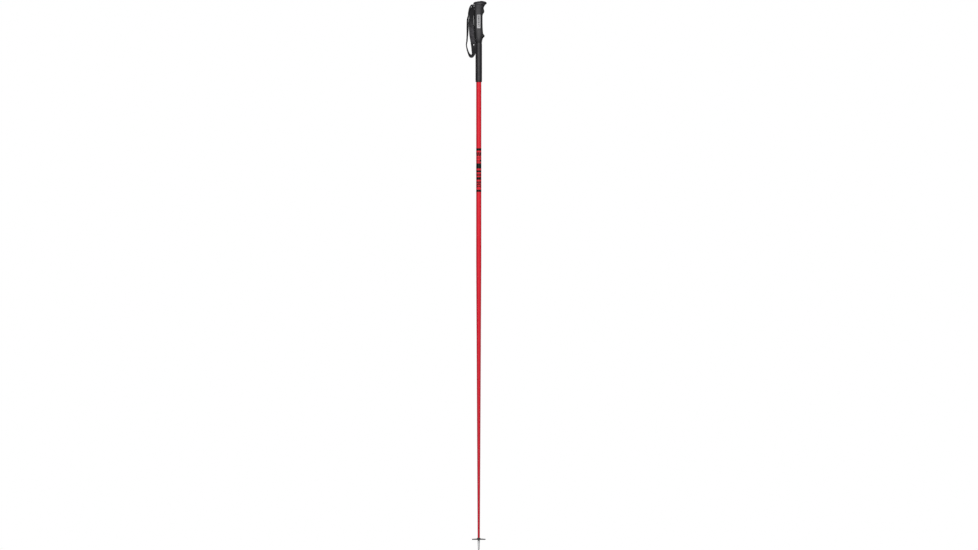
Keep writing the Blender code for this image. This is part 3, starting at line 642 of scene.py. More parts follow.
def spaced(count, edge):
    """Samples from -1 to 1, closer together towards both ends."""
    values = {round(float(v), 6) for v in np.linspace(-1, 1, count) if abs(v) < 1 - edge * 1.3}
    extra = [round(-1 + edge * t, 6) for t in (0.15, 0.35, 0.6, 1.0)]
    return sorted(values | {-1.0, 1.0} | set(extra) | {-v for v in extra})


PATCH_CORNER = 2.4


def patch(turn, half_turn, z_range, low, high, across, along, fillet=0.0):
    """Verts and faces of a shell on the grip's surface, centred on an angle, with
    rounded corners and, with fillet, rounded outer edges. high(u, z) is its
    outer lift."""
    height = z_range[1] - z_range[0]
    reach = half_turn / 90 * 14.0
    if fillet:
        us, vs = spaced(across, 0.12), spaced(along, 1.6 / height * 2)
    else:
        us, vs = ([-1 + 2 * i / count for i in range(count + 1)] for count in (across, along))
    outer, inner = [], []
    for v in vs:
        for u in us:
            edge = max(abs(u) * reach - (reach - PATCH_CORNER), 0.0) / PATCH_CORNER
            drop = PATCH_CORNER * (1 - math.sqrt(max(0.0, 1 - edge**2)))
            z = z_range[0] + drop + (v + 1) / 2 * (height - 2 * drop)
            lift = high(u, z)
            if fillet:
                inward = min((1 - abs(u)) * reach, (1 - abs(v)) / 2 * (height - 2 * drop))
                inward = min(inward / fillet, 1.0)
                lift -= fillet * (1 - math.sqrt(max(0.0, 1 - (1 - inward) ** 2)))
            outer.append(skin(turn + u * half_turn, z, lift))
            inner.append(skin(turn + u * half_turn, z, low))
    return outer + inner, shell_faces(len(vs), len(us), turn_over=True)


# ---- grip dimensions
FIT = 0.3                          # play between a part and its pocket
FINGER_HALF, FINGER_Z = 44.0, (1300.6, 1389.4)     # half angle and heights
PALM_HALF, PALM_Z = 55.0, (1303.0, 1378.0)
PAD_DEPTH = 1.3
BORE_R = 6.9
PEG_X = 8.0                        # the cap's peg and its socket
WELL_Y = (-6.6, 6.6)               # the well that holds the wedge
badge_low, badge_high = box_mm("badge_left")
BADGE_W, BADGE_H = badge_high[0] - badge_low[0], badge_high[2] - badge_low[2]
BADGE_Z = (badge_high[2] + badge_low[2]) / 2
BADGE_FACE = -badge_low[1]
BADGE_T = badge_high[1] - badge_low[1]
BADGE_R = 1.8
SHELL_BOTTOM, SHELL_TOP = (corner[2] for corner in box_mm("grip_shell"))
CAP_BOTTOM, TOP_Z = 1391.0, box_mm("grip_cap")[1][2]
APEX_X = 6.2
CAP_LEVELS = [
    1391.12, 1391.3, 1391.6, 1392.0, 1392.4, 1392.8, 1393.2, 1393.6, 1394.0, 1394.4,
    1394.8, 1395.2, 1395.6, 1396.0, 1396.4, 1396.8, 1397.1, 1397.4, 1397.7, 1398.0,
    1398.3, 1398.6, 1398.9, 1399.15, 1399.35, 1399.55, 1399.7, 1399.82]


def badge_block(name, side, margin, radius, low, high):
    """A round-cornered plate on the -Y (-1) or +Y (1) side, wider than the badge
    by margin."""
    outline = round_rect(BADGE_W + margin, BADGE_H + margin, radius)
    return solid(name, *prism(outline, low, high, badge_place(side)))


def badge_place(side):
    return lambda u, v, depth: (u, side * depth, BADGE_Z + v)


def pad_pocket(name, turn, half_turn, z_range, height, across, along):
    grown = (z_range[0] - FIT, z_range[1] + FIT)
    return solid(name, *patch(turn, half_turn + 2.0, grown, -PAD_DEPTH - FIT,
                              lambda u, z: height, across, along))


def grip_shell():
    rings = [section(SHELL_BOTTOM + 0.05, 0.55, level=SHELL_BOTTOM),
             section(SHELL_BOTTOM + 0.25, 0.22), section(SHELL_BOTTOM + 0.6, 0.04)]
    rings += [section(z) for z in [*np.arange(1296.0, 1390.0, 1.25), 1390.1]]
    rings += [section(1390.45, 0.08), section(SHELL_TOP, 0.35)]
    shell = solid("grip_body", *stacked(rings))
    cuts = [drum("bore", BORE_R, 100.0, x=0, z=1326.3),
            pad_pocket("finger_pocket", 0, FINGER_HALF, FINGER_Z, 5.0, across=28, along=90),
            pad_pocket("palm_pocket", 180, PALM_HALF, PALM_Z, 4.0, across=34, along=60)]
    cuts += [badge_block("badge_pocket", side, 2 * FIT, 2.1, BADGE_FACE - BADGE_T - FIT, 13.0)
             for side in (-1, 1)]
    cuts += [
        cuboid("strap_slot", (-9.0, -5.8), (-8.0, 8.0), (1378.2, 1395.0)),
        cuboid("wedge_well", (-6.2, 2.8), WELL_Y, (1378.2, 1395.5)),
        cuboid("pin_slot", (-3.6, 0.6), (-9.4, 9.4), (1379.7, 1396.0)),
        cuboid("strap_mouth", (-20.0, -8.6), (-7.6, 7.6), (1385.95, 1396.5)),
        drum("peg_socket", 2.95, 10.0, x=PEG_X, z=1391.0)]
    combine(shell, cuts)
    bevelled(shell, width=0.18, segments=2, angle=48)
    dress(shell, CHARCOAL, 32, "pole", ["grip_shell"])


grip_shell()


def groove(offset, pitch, half_width):
    """A row of rounded grooves: 1 at the bottom of each, 0 between them."""
    away = offset % pitch
    away = min(away, pitch - away)
    return max(0.0, 1 - (away / half_width) ** 2)


def finger_top(u, z):
    """The finger pad with shallow cross grooves between its two ridges."""
    lift = 0.15 + max(0.0, ridge_of(z) - front_of(z) - 0.15) * max(0.0, 1 - abs(u) ** 2.2)
    if 1318.0 < z < 1364.0:
        depth = 0.22 * groove(z - 1341.0 + 1.8 * u * u, pitch=5.0, half_width=0.7)
        lift -= depth * max(0.0, 1 - abs(u) ** 4)
    return lift


def palm_top(u, z):
    """The palm pad with a field of chevron grooves."""
    lift = 0.1 + 0.25 * (1 - u * u)
    if 1308.0 < z < 1373.0:
        depth = 0.24 * groove(z - 1340.5 - 4.0 * abs(u), pitch=4.6, half_width=0.65)
        lift -= depth * max(0.0, 1 - abs(u * 1.08) ** 6)
    return lift


for name, node, turn, half_turn, z_range, top, across, along in (
        ("finger_grip", "finger_pad", 0, FINGER_HALF, FINGER_Z, finger_top, 40, 330),
        ("palm_grip", "palm_pad", 180, PALM_HALF, PALM_Z, palm_top, 48, 280)):
    pad_mesh = patch(turn, half_turn, z_range, -PAD_DEPTH, top, across, along, fillet=0.45)
    dress(solid(name, *pad_mesh), BLACK_RUBBER, 45, "pole", [node])


def grip_cap():
    # the lowest ring closes the seam on the shell
    rings = [section(CAP_BOTTOM, 0.75, level=SHELL_TOP + 0.03),
             section(CAP_BOTTOM, 0.6, level=CAP_BOTTOM - 0.1),
             section(CAP_LEVELS[0], 0.24), section(CAP_LEVELS[1], 0.06)]
    rings += [section(z) for z in CAP_LEVELS[2:]]
    cap = solid("grip_top", *stacked(rings, (APEX_X, 0, TOP_Z)))
    combine(cap, [drum("peg", 2.6, 6.0, x=PEG_X, z=1389.6)], "UNION")
    combine(cap, [cuboid("well", (-6.1, 2.8), WELL_Y, (1380.0, 1410.0))])
    bevelled(cap, width=0.22, segments=3, angle=55)
    dress(cap, CAP_PLASTIC, 40, "pole", ["grip_cap"])


def strap_wedge():
    """The wedge in the cap: tapered below, domed and grooved on top."""
    low, high = box_mm("strap_wedge")
    above, middle = 1403.0, -1.65
    wedge = cuboid("lock_wedge", (-5.7, 2.4), (low[1], high[1]), (low[2], above))
    for v in wedge.data.vertices:
        if v.co.z < 1.39:
            v.co.x = (middle + (v.co.x / MM - middle) * 0.86) * MM
    sunk = 0.25                    # below the cap's surface
    rings = [section(z, level=z - sunk) for z in [1375.0] + CAP_LEVELS[3:]]
    dome = solid("dome", *stacked(rings, (APEX_X, 0, TOP_Z - sunk)))
    combine(wedge, [dome], "INTERSECT")
    pitch, rise = 1.75, 0.22
    combine(wedge, [cuboid(f"groove{k}", (-4.5 + pitch * k, -3.9 + pitch * k), (-4.4, 4.4),
                           (1398.35 + rise * k, above)) for k in range(4)])
    bevelled(wedge, width=0.16, segments=2, angle=50)
    dress(wedge, WEDGE, 35, "strap_lock", ["strap_wedge"])


grip_cap()
strap_wedge()


def badge_marks():
    """A column of slanted bars and dots, in the badge's plane."""
    half = 2.3
    shapes = []
    for v, kind in [(12.2, "bars"), (7.2, "dot"), (2.4, "bars"), (-2.4, "wide"), (-7.2, "dot"),
                    (-12.2, "bars")]:
        if kind == "bars":
            for off in (-1.25, 1.25):
                shapes.append([(-half, v + off - 1.05), (half, v + off - 0.15),
                               (half, v + off + 0.95), (-half, v + off + 0.05)])
        elif kind == "wide":
            shapes.append([(-half, v - 1.7), (half, v - 0.8), (half, v + 1.7), (-half, v + 0.8)])
        else:
            shapes.append([(1.7 * math.cos(a), v + 1.7 * math.sin(a))
                           for a in np.linspace(0, 2 * math.pi, 24, endpoint=False)])
    return shapes


def badge(name, side):
    """A plate with a raised border, and its marks."""
    plate = badge_block(f"badge_plate_{name}", side, 0, BADGE_R, BADGE_FACE - BADGE_T,
                        BADGE_FACE - 0.12)
    border = badge_block("border", side, 0, BADGE_R, BADGE_FACE - 0.3, BADGE_FACE)
    hollow = badge_block("hollow", side, -1.9, 1.0, BADGE_FACE - 0.5, BADGE_FACE + 1.0)
    combine(border, [hollow])
    combine(plate, [border], "UNION")
    bevelled(plate, width=0.09, segments=2, angle=50)
    dress(plate, BADGE, 35, "pole", [f"badge_{name}"])
    marks = joined(prism(shape, BADGE_FACE - 0.11, BADGE_FACE - 0.03, badge_place(side))
                   for shape in badge_marks())
    dress(solid(f"badge_marks_{name}", *marks), MARKS, 30, "pole")


badge("left", -1)
badge("right", 1)

# ---- shaft and print
shaft_low, shaft_high = box_mm("shaft")
SHAFT_R, SHAFT_R_LOW = shaft_high[0], 2.8
SHAFT_BOTTOM, SHAFT_TOP, TAPER_Z = shaft_low[2], shaft_high[2], 729.0
PRINT_Z = 968.9


def shaft_radius(z):
    t = min(max((z - SHAFT_BOTTOM) / (TAPER_Z - SHAFT_BOTTOM), 0.0), 1.0)
    return SHAFT_R_LOW + (SHAFT_R - SHAFT_R_LOW) * t


def shaft():
    corners = [(SHAFT_R, SHAFT_TOP, 0.15)]
    corners += [(shaft_radius(z), z, 0)
                for z in np.linspace(TAPER_Z, SHAFT_BOTTOM + 0.001, 24)[:-1]]
    corners += [(SHAFT_R_LOW, SHAFT_BOTTOM, 0.15), (SHAFT_R_LOW - 0.7, SHAFT_BOTTOM, 0.15),
                (SHAFT_R - 0.9, TAPER_Z, 0), (SHAFT_R - 0.9, SHAFT_TOP, 0.15)]
    dress(turned("shaft_tube", corners), RED, 30, "pole", ["shaft"])


PRINT_HALF = 9.7


def bar(z, height, left=-PRINT_HALF, right=PRINT_HALF):
    low, high = z - height / 2, z + height / 2
    return [(left, low), (right, low), (right, high), (left, high)]


def slash(left, z, half, width, lean):
    return [(left, z - half), (left + width, z - half), (left + width + lean, z + half),
            (left + lean, z + half)]


def chevron(z, height, width):
    return [(-PRINT_HALF, z - height), (0, z), (PRINT_HALF, z - height),
            (PRINT_HALF, z - height + width), (0, z + width), (-PRINT_HALF, z - height + width)]


def print_shapes():
    """The dark printed band, as outlines in (round the tube, along it) from the
    band's middle, in mm."""
    return [
        bar(52.3, 6.2), bar(-53.0, 5.7),
        *[slash(left, 40.4, half=4.8, width=3.6, lean=2.2) for left in (-9.6, -4.6, 0.4, 5.0)],
        bar(30.6, 1.3), bar(24.0, 1.0, right=0.8), bar(23.8, 3.6, left=2.2), bar(20.5, 1.2),
        bar(10.3, 13.4),
        bar(-3.4, 4.9),
        bar(-10.4, 1.3), bar(-12.4, 1.5), bar(-14.4, 1.3),
        bar(-21.6, 6.6, -7.4, 7.4), bar(-21.6, 1.0, left=8.2), bar(-21.6, 1.0, right=-8.2),
        bar(-29.9, 1.3), bar(-31.8, 1.4), bar(-33.6, 1.1),
        chevron(-37.4, height=3.4, width=2.6), chevron(-42.2, height=3.4, width=2.4)]


def wrapped(shape, low=0.01, high=0.06, step=0.8):
    """Thin shells of an outline wrapped round the shaft, on its -Y and +Y sides."""
    edit = bmesh.new()
    edit.faces.new([edit.verts.new((across, z, 0)) for across, z in shape])
    reach = max(abs(across) for across, _ in shape)
    for cut in np.arange(-reach + step, reach, step):
        bmesh.ops.bisect_plane(edit, geom=edit.verts[:] + edit.edges[:] + edit.faces[:],
                               plane_co=(float(cut), 0, 0), plane_no=(1, 0, 0))
    bmesh.ops.remove_doubles(edit, verts=edit.verts, dist=1e-5)
    bmesh.ops.recalc_face_normals(edit, faces=edit.faces)
    edit.verts.index_update()
    flat = [tuple(v.co) for v in edit.verts]
    inside = [[v.index for v in f.verts] for f in edit.faces]
    rim = [(e.verts[0].index, e.verts[1].index) for e in edit.edges if len(e.link_faces) == 1]
    edit.free()
    n = len(flat)
    faces = [tuple(f) for f in inside] + [tuple(n + i for i in f)[::-1] for f in inside]
    faces += [(a, b, n + b, n + a) for a, b in rim]
    parts = []
    for side in (-1, 1):
        verts = []
        for radius in (SHAFT_R + low, SHAFT_R + high):
            for across, z, _ in flat:
                angle = across / SHAFT_R
                verts.append((-side * radius * math.sin(angle), side * radius * math.cos(angle),
                              PRINT_Z + z))
        parts.append((verts, faces))
    return joined(parts)


shaft()
dress(solid("shaft_print", *joined(wrapped(shape) for shape in print_shapes())), PRINT, 30,
      "pole")


# ---- collar and sleeve
def grip_collar():
    low, high = box_mm("grip_collar")
    top, bottom, radius = high[2] + 0.27, low[2] - 0.27, high[0]
    ring = turned("grip_ring", [(radius, top, 0.7), (radius, bottom, 0.7), (BORE_R, bottom, 0.1),
                                (BORE_R, top, 0.1)], arc=6)
    dress(ring, BLACK_RUBBER, 40, "pole", ["grip_collar"])


def grip_sleeve():
    """A long sleeve with a step at its top and a groove near its bottom."""
    low, high = box_mm("grip_sleeve")
    radius, top, bottom = high[0], high[2], low[2]
    corners = [(radius - 0.25, top, 0.3), (radius - 0.25, top - 2.2, 0.15),
               (radius, top - 2.6, 0.2)]
    corners += [(radius, z, 0) for z in np.linspace(top - 4.0, bottom + 6.0, 30)]
    corners += [(radius, bottom + 3.4, 0.15), (radius - 0.35, bottom + 3.0, 0.12),
                (radius - 0.35, bottom + 2.5, 0.12), (radius, bottom + 2.1, 0.15),
                (radius, bottom + 0.9, 0.4), (radius - 0.6, bottom, 0.25),
                (BORE_R, bottom, 0.1), (BORE_R, top, 0.1)]
    dress(turned("lower_sleeve", corners), SLEEVE_RUBBER, 40, "pole", ["grip_sleeve"])


# ---- tip and basket
def tip_ferrule():
    low, high = box_mm("tip_ferrule")
    radius, top, bottom = high[0], high[2], low[2]
    corners = [
        (0, top, 0), (1.2, top, 0.2), (1.75, top - 1.5, 0.4), (1.75, 31.2, 0.1),
        (2.8, 31.2, 0.15), (2.8, 29.35, 0.12), (2.2, 29.35, 0.1), (2.2, 25.5, 0.1),
        (2.75, 25.5, 0.15), (radius, 25.2, 0.2), (radius, 24.1, 0.2),
        (radius - 0.28, 23.9, 0.1), (radius - 0.28, 23.3, 0.1), (radius - 0.06, 23.1, 0.2),
        (2.5, 13.0, 0), (2.15, 3.0, 0.5), (1.98, bottom, 0.08), (1.85, bottom, 0.05),
        (1.85, 9.3, 0.05), (0, 9.3, 0)]
    dress(turned("tip_body", corners, closed=False), STEEL, 40, "pole", ["tip_ferrule"])


def tip_insert():
    radius, _, top = box_mm("tip_insert")[1]
    corners = [(0, top, 0), (radius, top, 0.1), (radius, 0.5, 0.15), (radius - 0.35, 0.0, 0.15),
               (0, 0, 0)]
    dress(turned("tip_point", corners, steps=64, closed=False), INSERT, 40, "pole",
          ["tip_insert"])


def window(start, stop, inner, outer):
    """One opening of the basket between two angles, with rounded corners."""
    places = [(start + 7, inner, 0.9), ((start + stop) / 2, inner, 0), (stop - 7, inner, 0.9)]
    places += [(stop - (stop - start) * k / 8, outer, 1.2 if k in (0, 8) else 0)
               for k in range(9)]
    return rounded([(radius * math.cos(math.radians(angle)),
                     radius * math.sin(math.radians(angle)), rounding)
                    for angle, radius, rounding in places], steps=6)


def snow_basket():
    low, high = box_mm("basket")
    radius, top, bottom = high[0], high[2], low[2]
    corners = [
        (3.45, top, 0.2), (3.75, 31.0, 0.4), (3.95, 29.9, 0.9), (4.6, 29.55, 0.8),
        (8.0, 29.35, 2.0), (13.0, 28.95, 2.0), (16.4, 28.65, 0.9), (radius, 28.05, 0.5),
        (radius, 26.7, 0.5), (radius - 0.5, 26.2, 0.4), (15.4, 26.55, 0.8), (9.0, 26.95, 1.5),
        (5.0, 27.0, 0.8), (4.2, bottom, 0.3), (2.5, bottom, 0.15), (2.5, 29.05, 0.15),
        (3.1, 29.05, 0.1), (3.1, top, 0.1)]
    basket = turned("snow_basket", corners, steps=144, arc=6)
    windows = [prism(window(60 * k + 11, 60 * k + 49, inner=6.8, outer=14.0), 20.0, 40.0,
                     lambda u, v, depth: (u, v, depth)) for k in range(6)]
    combine(basket, [solid("window", *shape) for shape in windows])
    bevelled(basket, width=0.22, segments=3, angle=50)
    dress(basket, BASKET, 40, "basket", ["basket"])


grip_collar()
grip_sleeve()
tip_ferrule()
tip_insert()
snow_basket()

# CAD parts that keep their own meshes
for node, mat in (("shaft_top_plug", PLUG), ("strap_anchor_pin", PIN)):
    NODES[node].data.materials.clear()
    NODES[node].data.materials.append(mat)

# ---- strap
# Stations (x, z, yaw in degrees) down the outer leg, round and up the inner one
STRAP_PATH = [
    (-15.8, 1390, 0), (-17.5, 1389.1, 1), (-19.6, 1387.6, 3), (-21.7, 1384.5, 5),
    (-23.3, 1380.6, 6), (-24.3, 1376, 7), (-25.3, 1370.3, 8), (-26, 1365, 8),
    (-26.7, 1361, 9), (-27.6, 1357, 12), (-28.3, 1352.5, 15), (-28.4, 1347.5, 17),
    (-28.5, 1342, 18), (-28.6, 1330, 18), (-29, 1316, 14), (-29.6, 1306, 11),
    (-30.1, 1299, 10), (-30.9, 1293.5, 9), (-31.5, 1289, 7), (-31.2, 1284.5, 7),
    (-30.1, 1279, 8), (-28.6, 1273.3, 10), (-26.7, 1268, 13), (-24.6, 1263.7, 18),
    (-22.2, 1260.5, 28), (-19.7, 1259.1, 33), (-17.1, 1259.4, 35), (-14.8, 1262, 33),
    (-13.1, 1265.9, 38), (-12.9, 1271.3, 46), (-13.05, 1277, 50), (-13.35, 1283, 52),
    (-14, 1290, 59), (-14.9, 1298, 59), (-16.5, 1306, 58), (-17.4, 1314, 62),
    (-18.05, 1322, 65), (-18.5, 1332, 65), (-18.95, 1342, 60), (-18.95, 1351, 55),
    (-18.85, 1359, 51), (-18.4, 1366, 47), (-17.9, 1372, 43), (-17.3, 1377.5, 37),
    (-16.55, 1382, 29), (-16.25, 1385, 15), (-15.8, 1386.7, 0)]
# The loop passes a little above its last station
LAST_POINT = (-15.8, 1387.3, 0, 0)
# (x, z) inside the lock: the lower layer runs in, down the slot and round the pin,
# and comes back as the upper layer
INSIDE = [
    (-13.4, 1387.4), (-10.6, 1387.4), (-8.9, 1386.7), (-8.2, 1385.2), (-8.1, 1383),
    (-7.9, 1380.6), (-6.6, 1379.5), (-4, 1379.2), (-1.5, 1379.1), (0.3, 1379.8),
    (1, 1381.6), (0.3, 1383.4), (-1.5, 1384.1), (-3.6, 1383.3), (-5.2, 1382.3),
    (-6.4, 1382.6), (-6.75, 1384.4), (-6.8, 1386.6), (-7.3, 1388.3), (-8.9, 1389.15),
    (-11, 1389.4), (-13.4, 1389.7)]
# (station, y of the strap's centre line)
STRAP_LEAN = [(24, 0.0), (26, -1.0), (28, -2.6), (29, -3.2), (42, -3.2), (43, -2.7),
              (44, -1.8), (45, -0.8), (46, 0.0)]
WEB_HALF, WEB_THICK = 7.0, 0.82    # half the webbing's width and thickness
CORDS, PER_CORD = 11, 5            # cords across a face, and samples across a cord
PICK = 1.2                         # half the weave's repeat along the strap
RELIEF = 0.24                      # depth of the weave
SELVEDGE = 0.46                    # half the thickness at the edges


def smooth_steps(pairs, at):
    """The pairs' second value at each place, easing from one to the next."""
    xs, ys = np.array(pairs, float).T
    at = np.clip(np.asarray(at, float), xs[0], xs[-1])
    i = np.clip(np.searchsorted(xs, at, side="right") - 1, 0, len(xs) - 2)
    t = (at - xs[i]) / (xs[i + 1] - xs[i])
    return ys[i] + (ys[i + 1] - ys[i]) * t * t * (3 - 2 * t)


def columns_at(at, known, table):
    """Each column of table, known at some places, interpolated at others."""
    return np.column_stack([np.interp(at, known, column) for column in table.T])


def lengths(points):
    """Distance along a line at each of its points."""
    return np.r_[0, np.cumsum(np.linalg.norm(np.diff(points, axis=0), axis=1))]


def track(points, step):
    """Evenly spaced samples of a closed Catmull-Rom curve through points, their
    distances along it, and its length."""
    p = np.array(points, float)
    p = np.vstack([p[-1], p, p[0], p[1]])
    fine = []
    for i in range(1, len(p) - 2):
        for t in np.linspace(0, 1, 24, endpoint=False):
            a, b, c, d = p[i - 1], p[i], p[i + 1], p[i + 2]
            fine.append(0.5 * ((2 * b) + (-a + c) * t + (2 * a - 5 * b + 4 * c - d) * t**2
                               + (-a + 3 * b - 3 * c + d) * t**3))
    fine.append(p[-2])
    fine = np.array(fine)
    gone = lengths(fine[:, :2])
    at = np.linspace(0, gone[-1], int(round(gone[-1] / step)), endpoint=False)
    return columns_at(at, gone, fine), at, gone[-1]


def unit(vectors):
    return vectors / np.linalg.norm(vectors, axis=1)[:, None]


def central(points):
    """Differences across each point of a closed line."""
    return np.roll(points, -1, axis=0) - np.roll(points, 1, axis=0)


def frames_along(line, closed):
    """Centre, width direction and face normal at each (x, z, yaw, y) sample."""
    centre = np.column_stack([line[:, 0], line[:, 3], line[:, 1]])
    along = unit(central(centre) if closed else np.gradient(centre, axis=0))
    level = unit(np.array([0.0, 1.0, 0.0]) - along * along[:, 1:2])
    across = np.cross(level, along)
    turn = -np.radians(line[:, 2])
    wide = np.cos(turn)[:, None] * level + np.sin(turn)[:, None] * across
    return centre, wide, np.cross(along, wide)


leans = smooth_steps(STRAP_LEAN, np.arange(len(STRAP_PATH)))
leaning = [(*point, lean) for point, lean in zip(STRAP_PATH, leans)]
loop_points = leaning[:-1] + [LAST_POINT] + [(x, z, 0, 0) for x, z in INSIDE]
samples, run, LOOP_LENGTH = track(loop_points, step=0.40)


def station(index):
    """Distance along the loop at a station of the path."""
    x, z = STRAP_PATH[index][:2]
    return run[np.argmin((samples[:, 0] - x) ** 2 + (samples[:, 1] - z) ** 2)]


def ramp(low, high):
    """0 to 1 along the loop between two distances."""
    t = np.clip((run - low) / (high - low), 0, 1)
    return t * t * (3 - 2 * t)


def bow(t, half):
    """How far the webbing curls off its centre line, t from -1 to 1 across it."""
    return 0.28 * ((t * half / WEB_HALF) ** 2 - 0.4)


def strap_sizes():
    """Half width, half thickness and share of curl at each sample."""
    end = station(-1)
    inside = ramp(end + 5.0, end + 8.0) * (1 - ramp(LOOP_LENGTH - 8.0, LOOP_LENGTH - 5.2))
    mouth = np.where(run < 40, 1 - ramp(1.0, 5.0), ramp(end - 2.5, end + 1.5))
    half_width = WEB_HALF - 0.9 * np.maximum(inside, 0.25 * mouth)
    half_thick = WEB_THICK + 0.32 * mouth * (1 - inside) - 0.24 * inside
    # both legs are doubled over and box-stitched below the lock
    outer_leg = ((0.88 - 0.42 * ramp(4.0, 9.0)) * ramp(0.2, 1.8)
                 * (1 - ramp(station(6), station(8))))
    inner_leg = ((0.20 + 0.50 * ramp(end - 7.0, end - 3.5)) * ramp(station(42), station(43))
                 * (1 - ramp(end - 1.0, end + 0.5)))
    return half_width, half_thick + (outer_leg + inner_leg), 1 - np.maximum(inside, mouth)


def weave(t, along, face):
    """Height of the cords, 0 to 1, at t across (-1 to 1) and along in mm."""
    cord = np.floor((t + 1) / 2 * CORDS)
    off = (t + 1) / 2 * CORDS - cord - 0.5
    body = np.sqrt(np.maximum(0.0, 1 - (1.9 * off) ** 2))
    over = 0.5 + 0.5 * np.cos(math.pi * along / PICK + math.pi * (cord + face))
    return body * (0.30 + 0.70 * over)


def wrist_strap():
    """The webbing: two woven faces and round selvedges, swept round the loop."""
    across = np.linspace(-1, 1, CORDS * PER_CORD + 1)[1:-1]
    verts, woven = [], []
    for along, centre, wide, normal, width, thick, curl in zip(
            run, *frames_along(samples, closed=True), *strap_sizes()):
        for face, order in ((1, across), (-1, across[::-1])):
            cords = weave(order, along, face)
            thinning = 1 - 0.25 * np.clip((np.abs(order) - 0.93) / 0.07, 0, 1) ** 2
            for t, cord, thin in zip(order, cords, thinning):
                up = (thick - RELIEF * (1 - cord)) * thin
                verts.append(centre + wide * (width * t)
                             + normal * (face * up + bow(t, width) * curl))
                woven.append(cord)
            bump = 0.05 * math.cos(2 * math.pi * along / PICK)
            edge = (centre + wide * (face * (width + 0.04 + bump))
                    + normal * (bow(1, width) * curl))
            verts += [edge + normal * (SELVEDGE * face), edge - normal * (SELVEDGE * face)]
            woven += [0.6, 0.6]
    faces = ring_faces(len(run), len(verts) // len(run), closed=True)
    strap = solid("wrist_strap", verts, faces)
    dress(strap, WEB, 80)
    # the cords' heights, which the webbing's material reads for painted shade and a painted
    # highlight
    cords = strap.data.attributes.new("weave", "FLOAT", "POINT")
    cords.data.foreach_set("value", np.array(woven, np.float32))
    # the small three-cornered opening below the pad
    outline = rounded([(-1.35, 1.6, 0.25), (-0.1, -1.7, 0.25), (0.25, -1.7, 0.25),
                       (1.2, 1.3, 0.25), (1.0, 1.6, 0.25)])
    combine(strap, [solid("opening", *prism(outline, -20.0, 20.0,
                                            lambda u, v, y: (-12.6 + u, y, 1287.6 + v)))])
    dress(strap, WEB, 70, None, ["strap_loop", "strap_tail"])
    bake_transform(strap)


wrist_strap()

# ---- wrist pad
PAD_FROM, PAD_TO = station(32), station(40)
PAD_LENGTH, PAD_HALF = PAD_TO - PAD_FROM, 6.5
PAD_LIFT = WEB_THICK + 0.12        # from the webbing's centre line to the pad's underside
SEAM = 0.80                        # the side seams, as a share of the half width
QUILT = PAD_LENGTH / 5             # pitch of the cross rows
SEWN, ROW = 0.22, 0.55             # the cloth's height where sewn down, and at its rows
FULL = 1.5                         # its rise where it isn't simulated

# The cloth is simulated flat, ten times full size
CLOTH_SCALE, CLOTH_FRAMES = 0.01, 40
CLOTH = dict(
    quality=8, mass=0.25, air_damping=3.0, tension_stiffness=12.0, compression_stiffness=12.0,
    shear_stiffness=6.0, bending_stiffness=2.5, vertex_group_mass="sewn", use_pressure=True,
    uniform_pressure_force=9.0, shrink_min=-0.11)


def pad_half(along):
    """Half the pad's width at a distance along it: full, with rounded ends."""
    end = np.minimum(along, PAD_LENGTH - along)
    return PAD_HALF * (1 - 0.42 * (1 - np.minimum(end / 7.0, 1.0)) ** 2.2)


def strap_frames(at, base, start=0.0):
    """The strap's frames at places between base distances, counted from start."""
    line = columns_at(start + base, run, samples)
    return [columns_at(at, base, part) for part in frames_along(line, closed=False)]


def on_strap(along, across, lift):
    """Points and normals on the inside of the loop, along and across the pad and
    lifted off the webbing's centre line, in mm."""
    base = np.linspace(-3.0, PAD_LENGTH + 3.0, 400)
    centre, wide, normal = strap_frames(along, base, PAD_FROM)
    wide, normal = unit(wide), unit(normal)
    half = pad_half(along)
    curl = bow(across / np.maximum(half, 0.1), half)
    return centre + wide * across[:, None] + normal * (lift + curl)[:, None], normal


def simulated(along, across, height, held):
    """The cloth's points after its simulation, pinned where held is true."""
    rows, columns = along.shape
    verts = np.column_stack([along.ravel(), across.ravel(), height.ravel()])
    cloth = mesh_object("cloth", verts, grid_quads(rows, columns), CLOTH_SCALE)
    pins = cloth.vertex_groups.new(name="sewn")
    pins.add([int(i) for i in np.flatnonzero(held.ravel())], 1.0, "REPLACE")
    mod = cloth.modifiers.new("Cloth", "CLOTH")
    for key, value in CLOTH.items():
        setattr(mod.settings, key, value)
    mod.settings.effector_weights.gravity = 0.0
    mod.collision_settings.use_collision = False
    mod.point_cache.frame_start, mod.point_cache.frame_end = 1, CLOTH_FRAMES
    stage = bpy.context.scene
    for step in range(1, CLOTH_FRAMES + 1):
        stage.frame_set(step)
    done = cloth.evaluated_get(bpy.context.evaluated_depsgraph_get())
    moved = np.array([v.co[:] for v in done.data.vertices]) * 100.0
    stage.frame_set(1)
    bpy.data.objects.remove(cloth)
    return moved.reshape(rows, columns, 3)


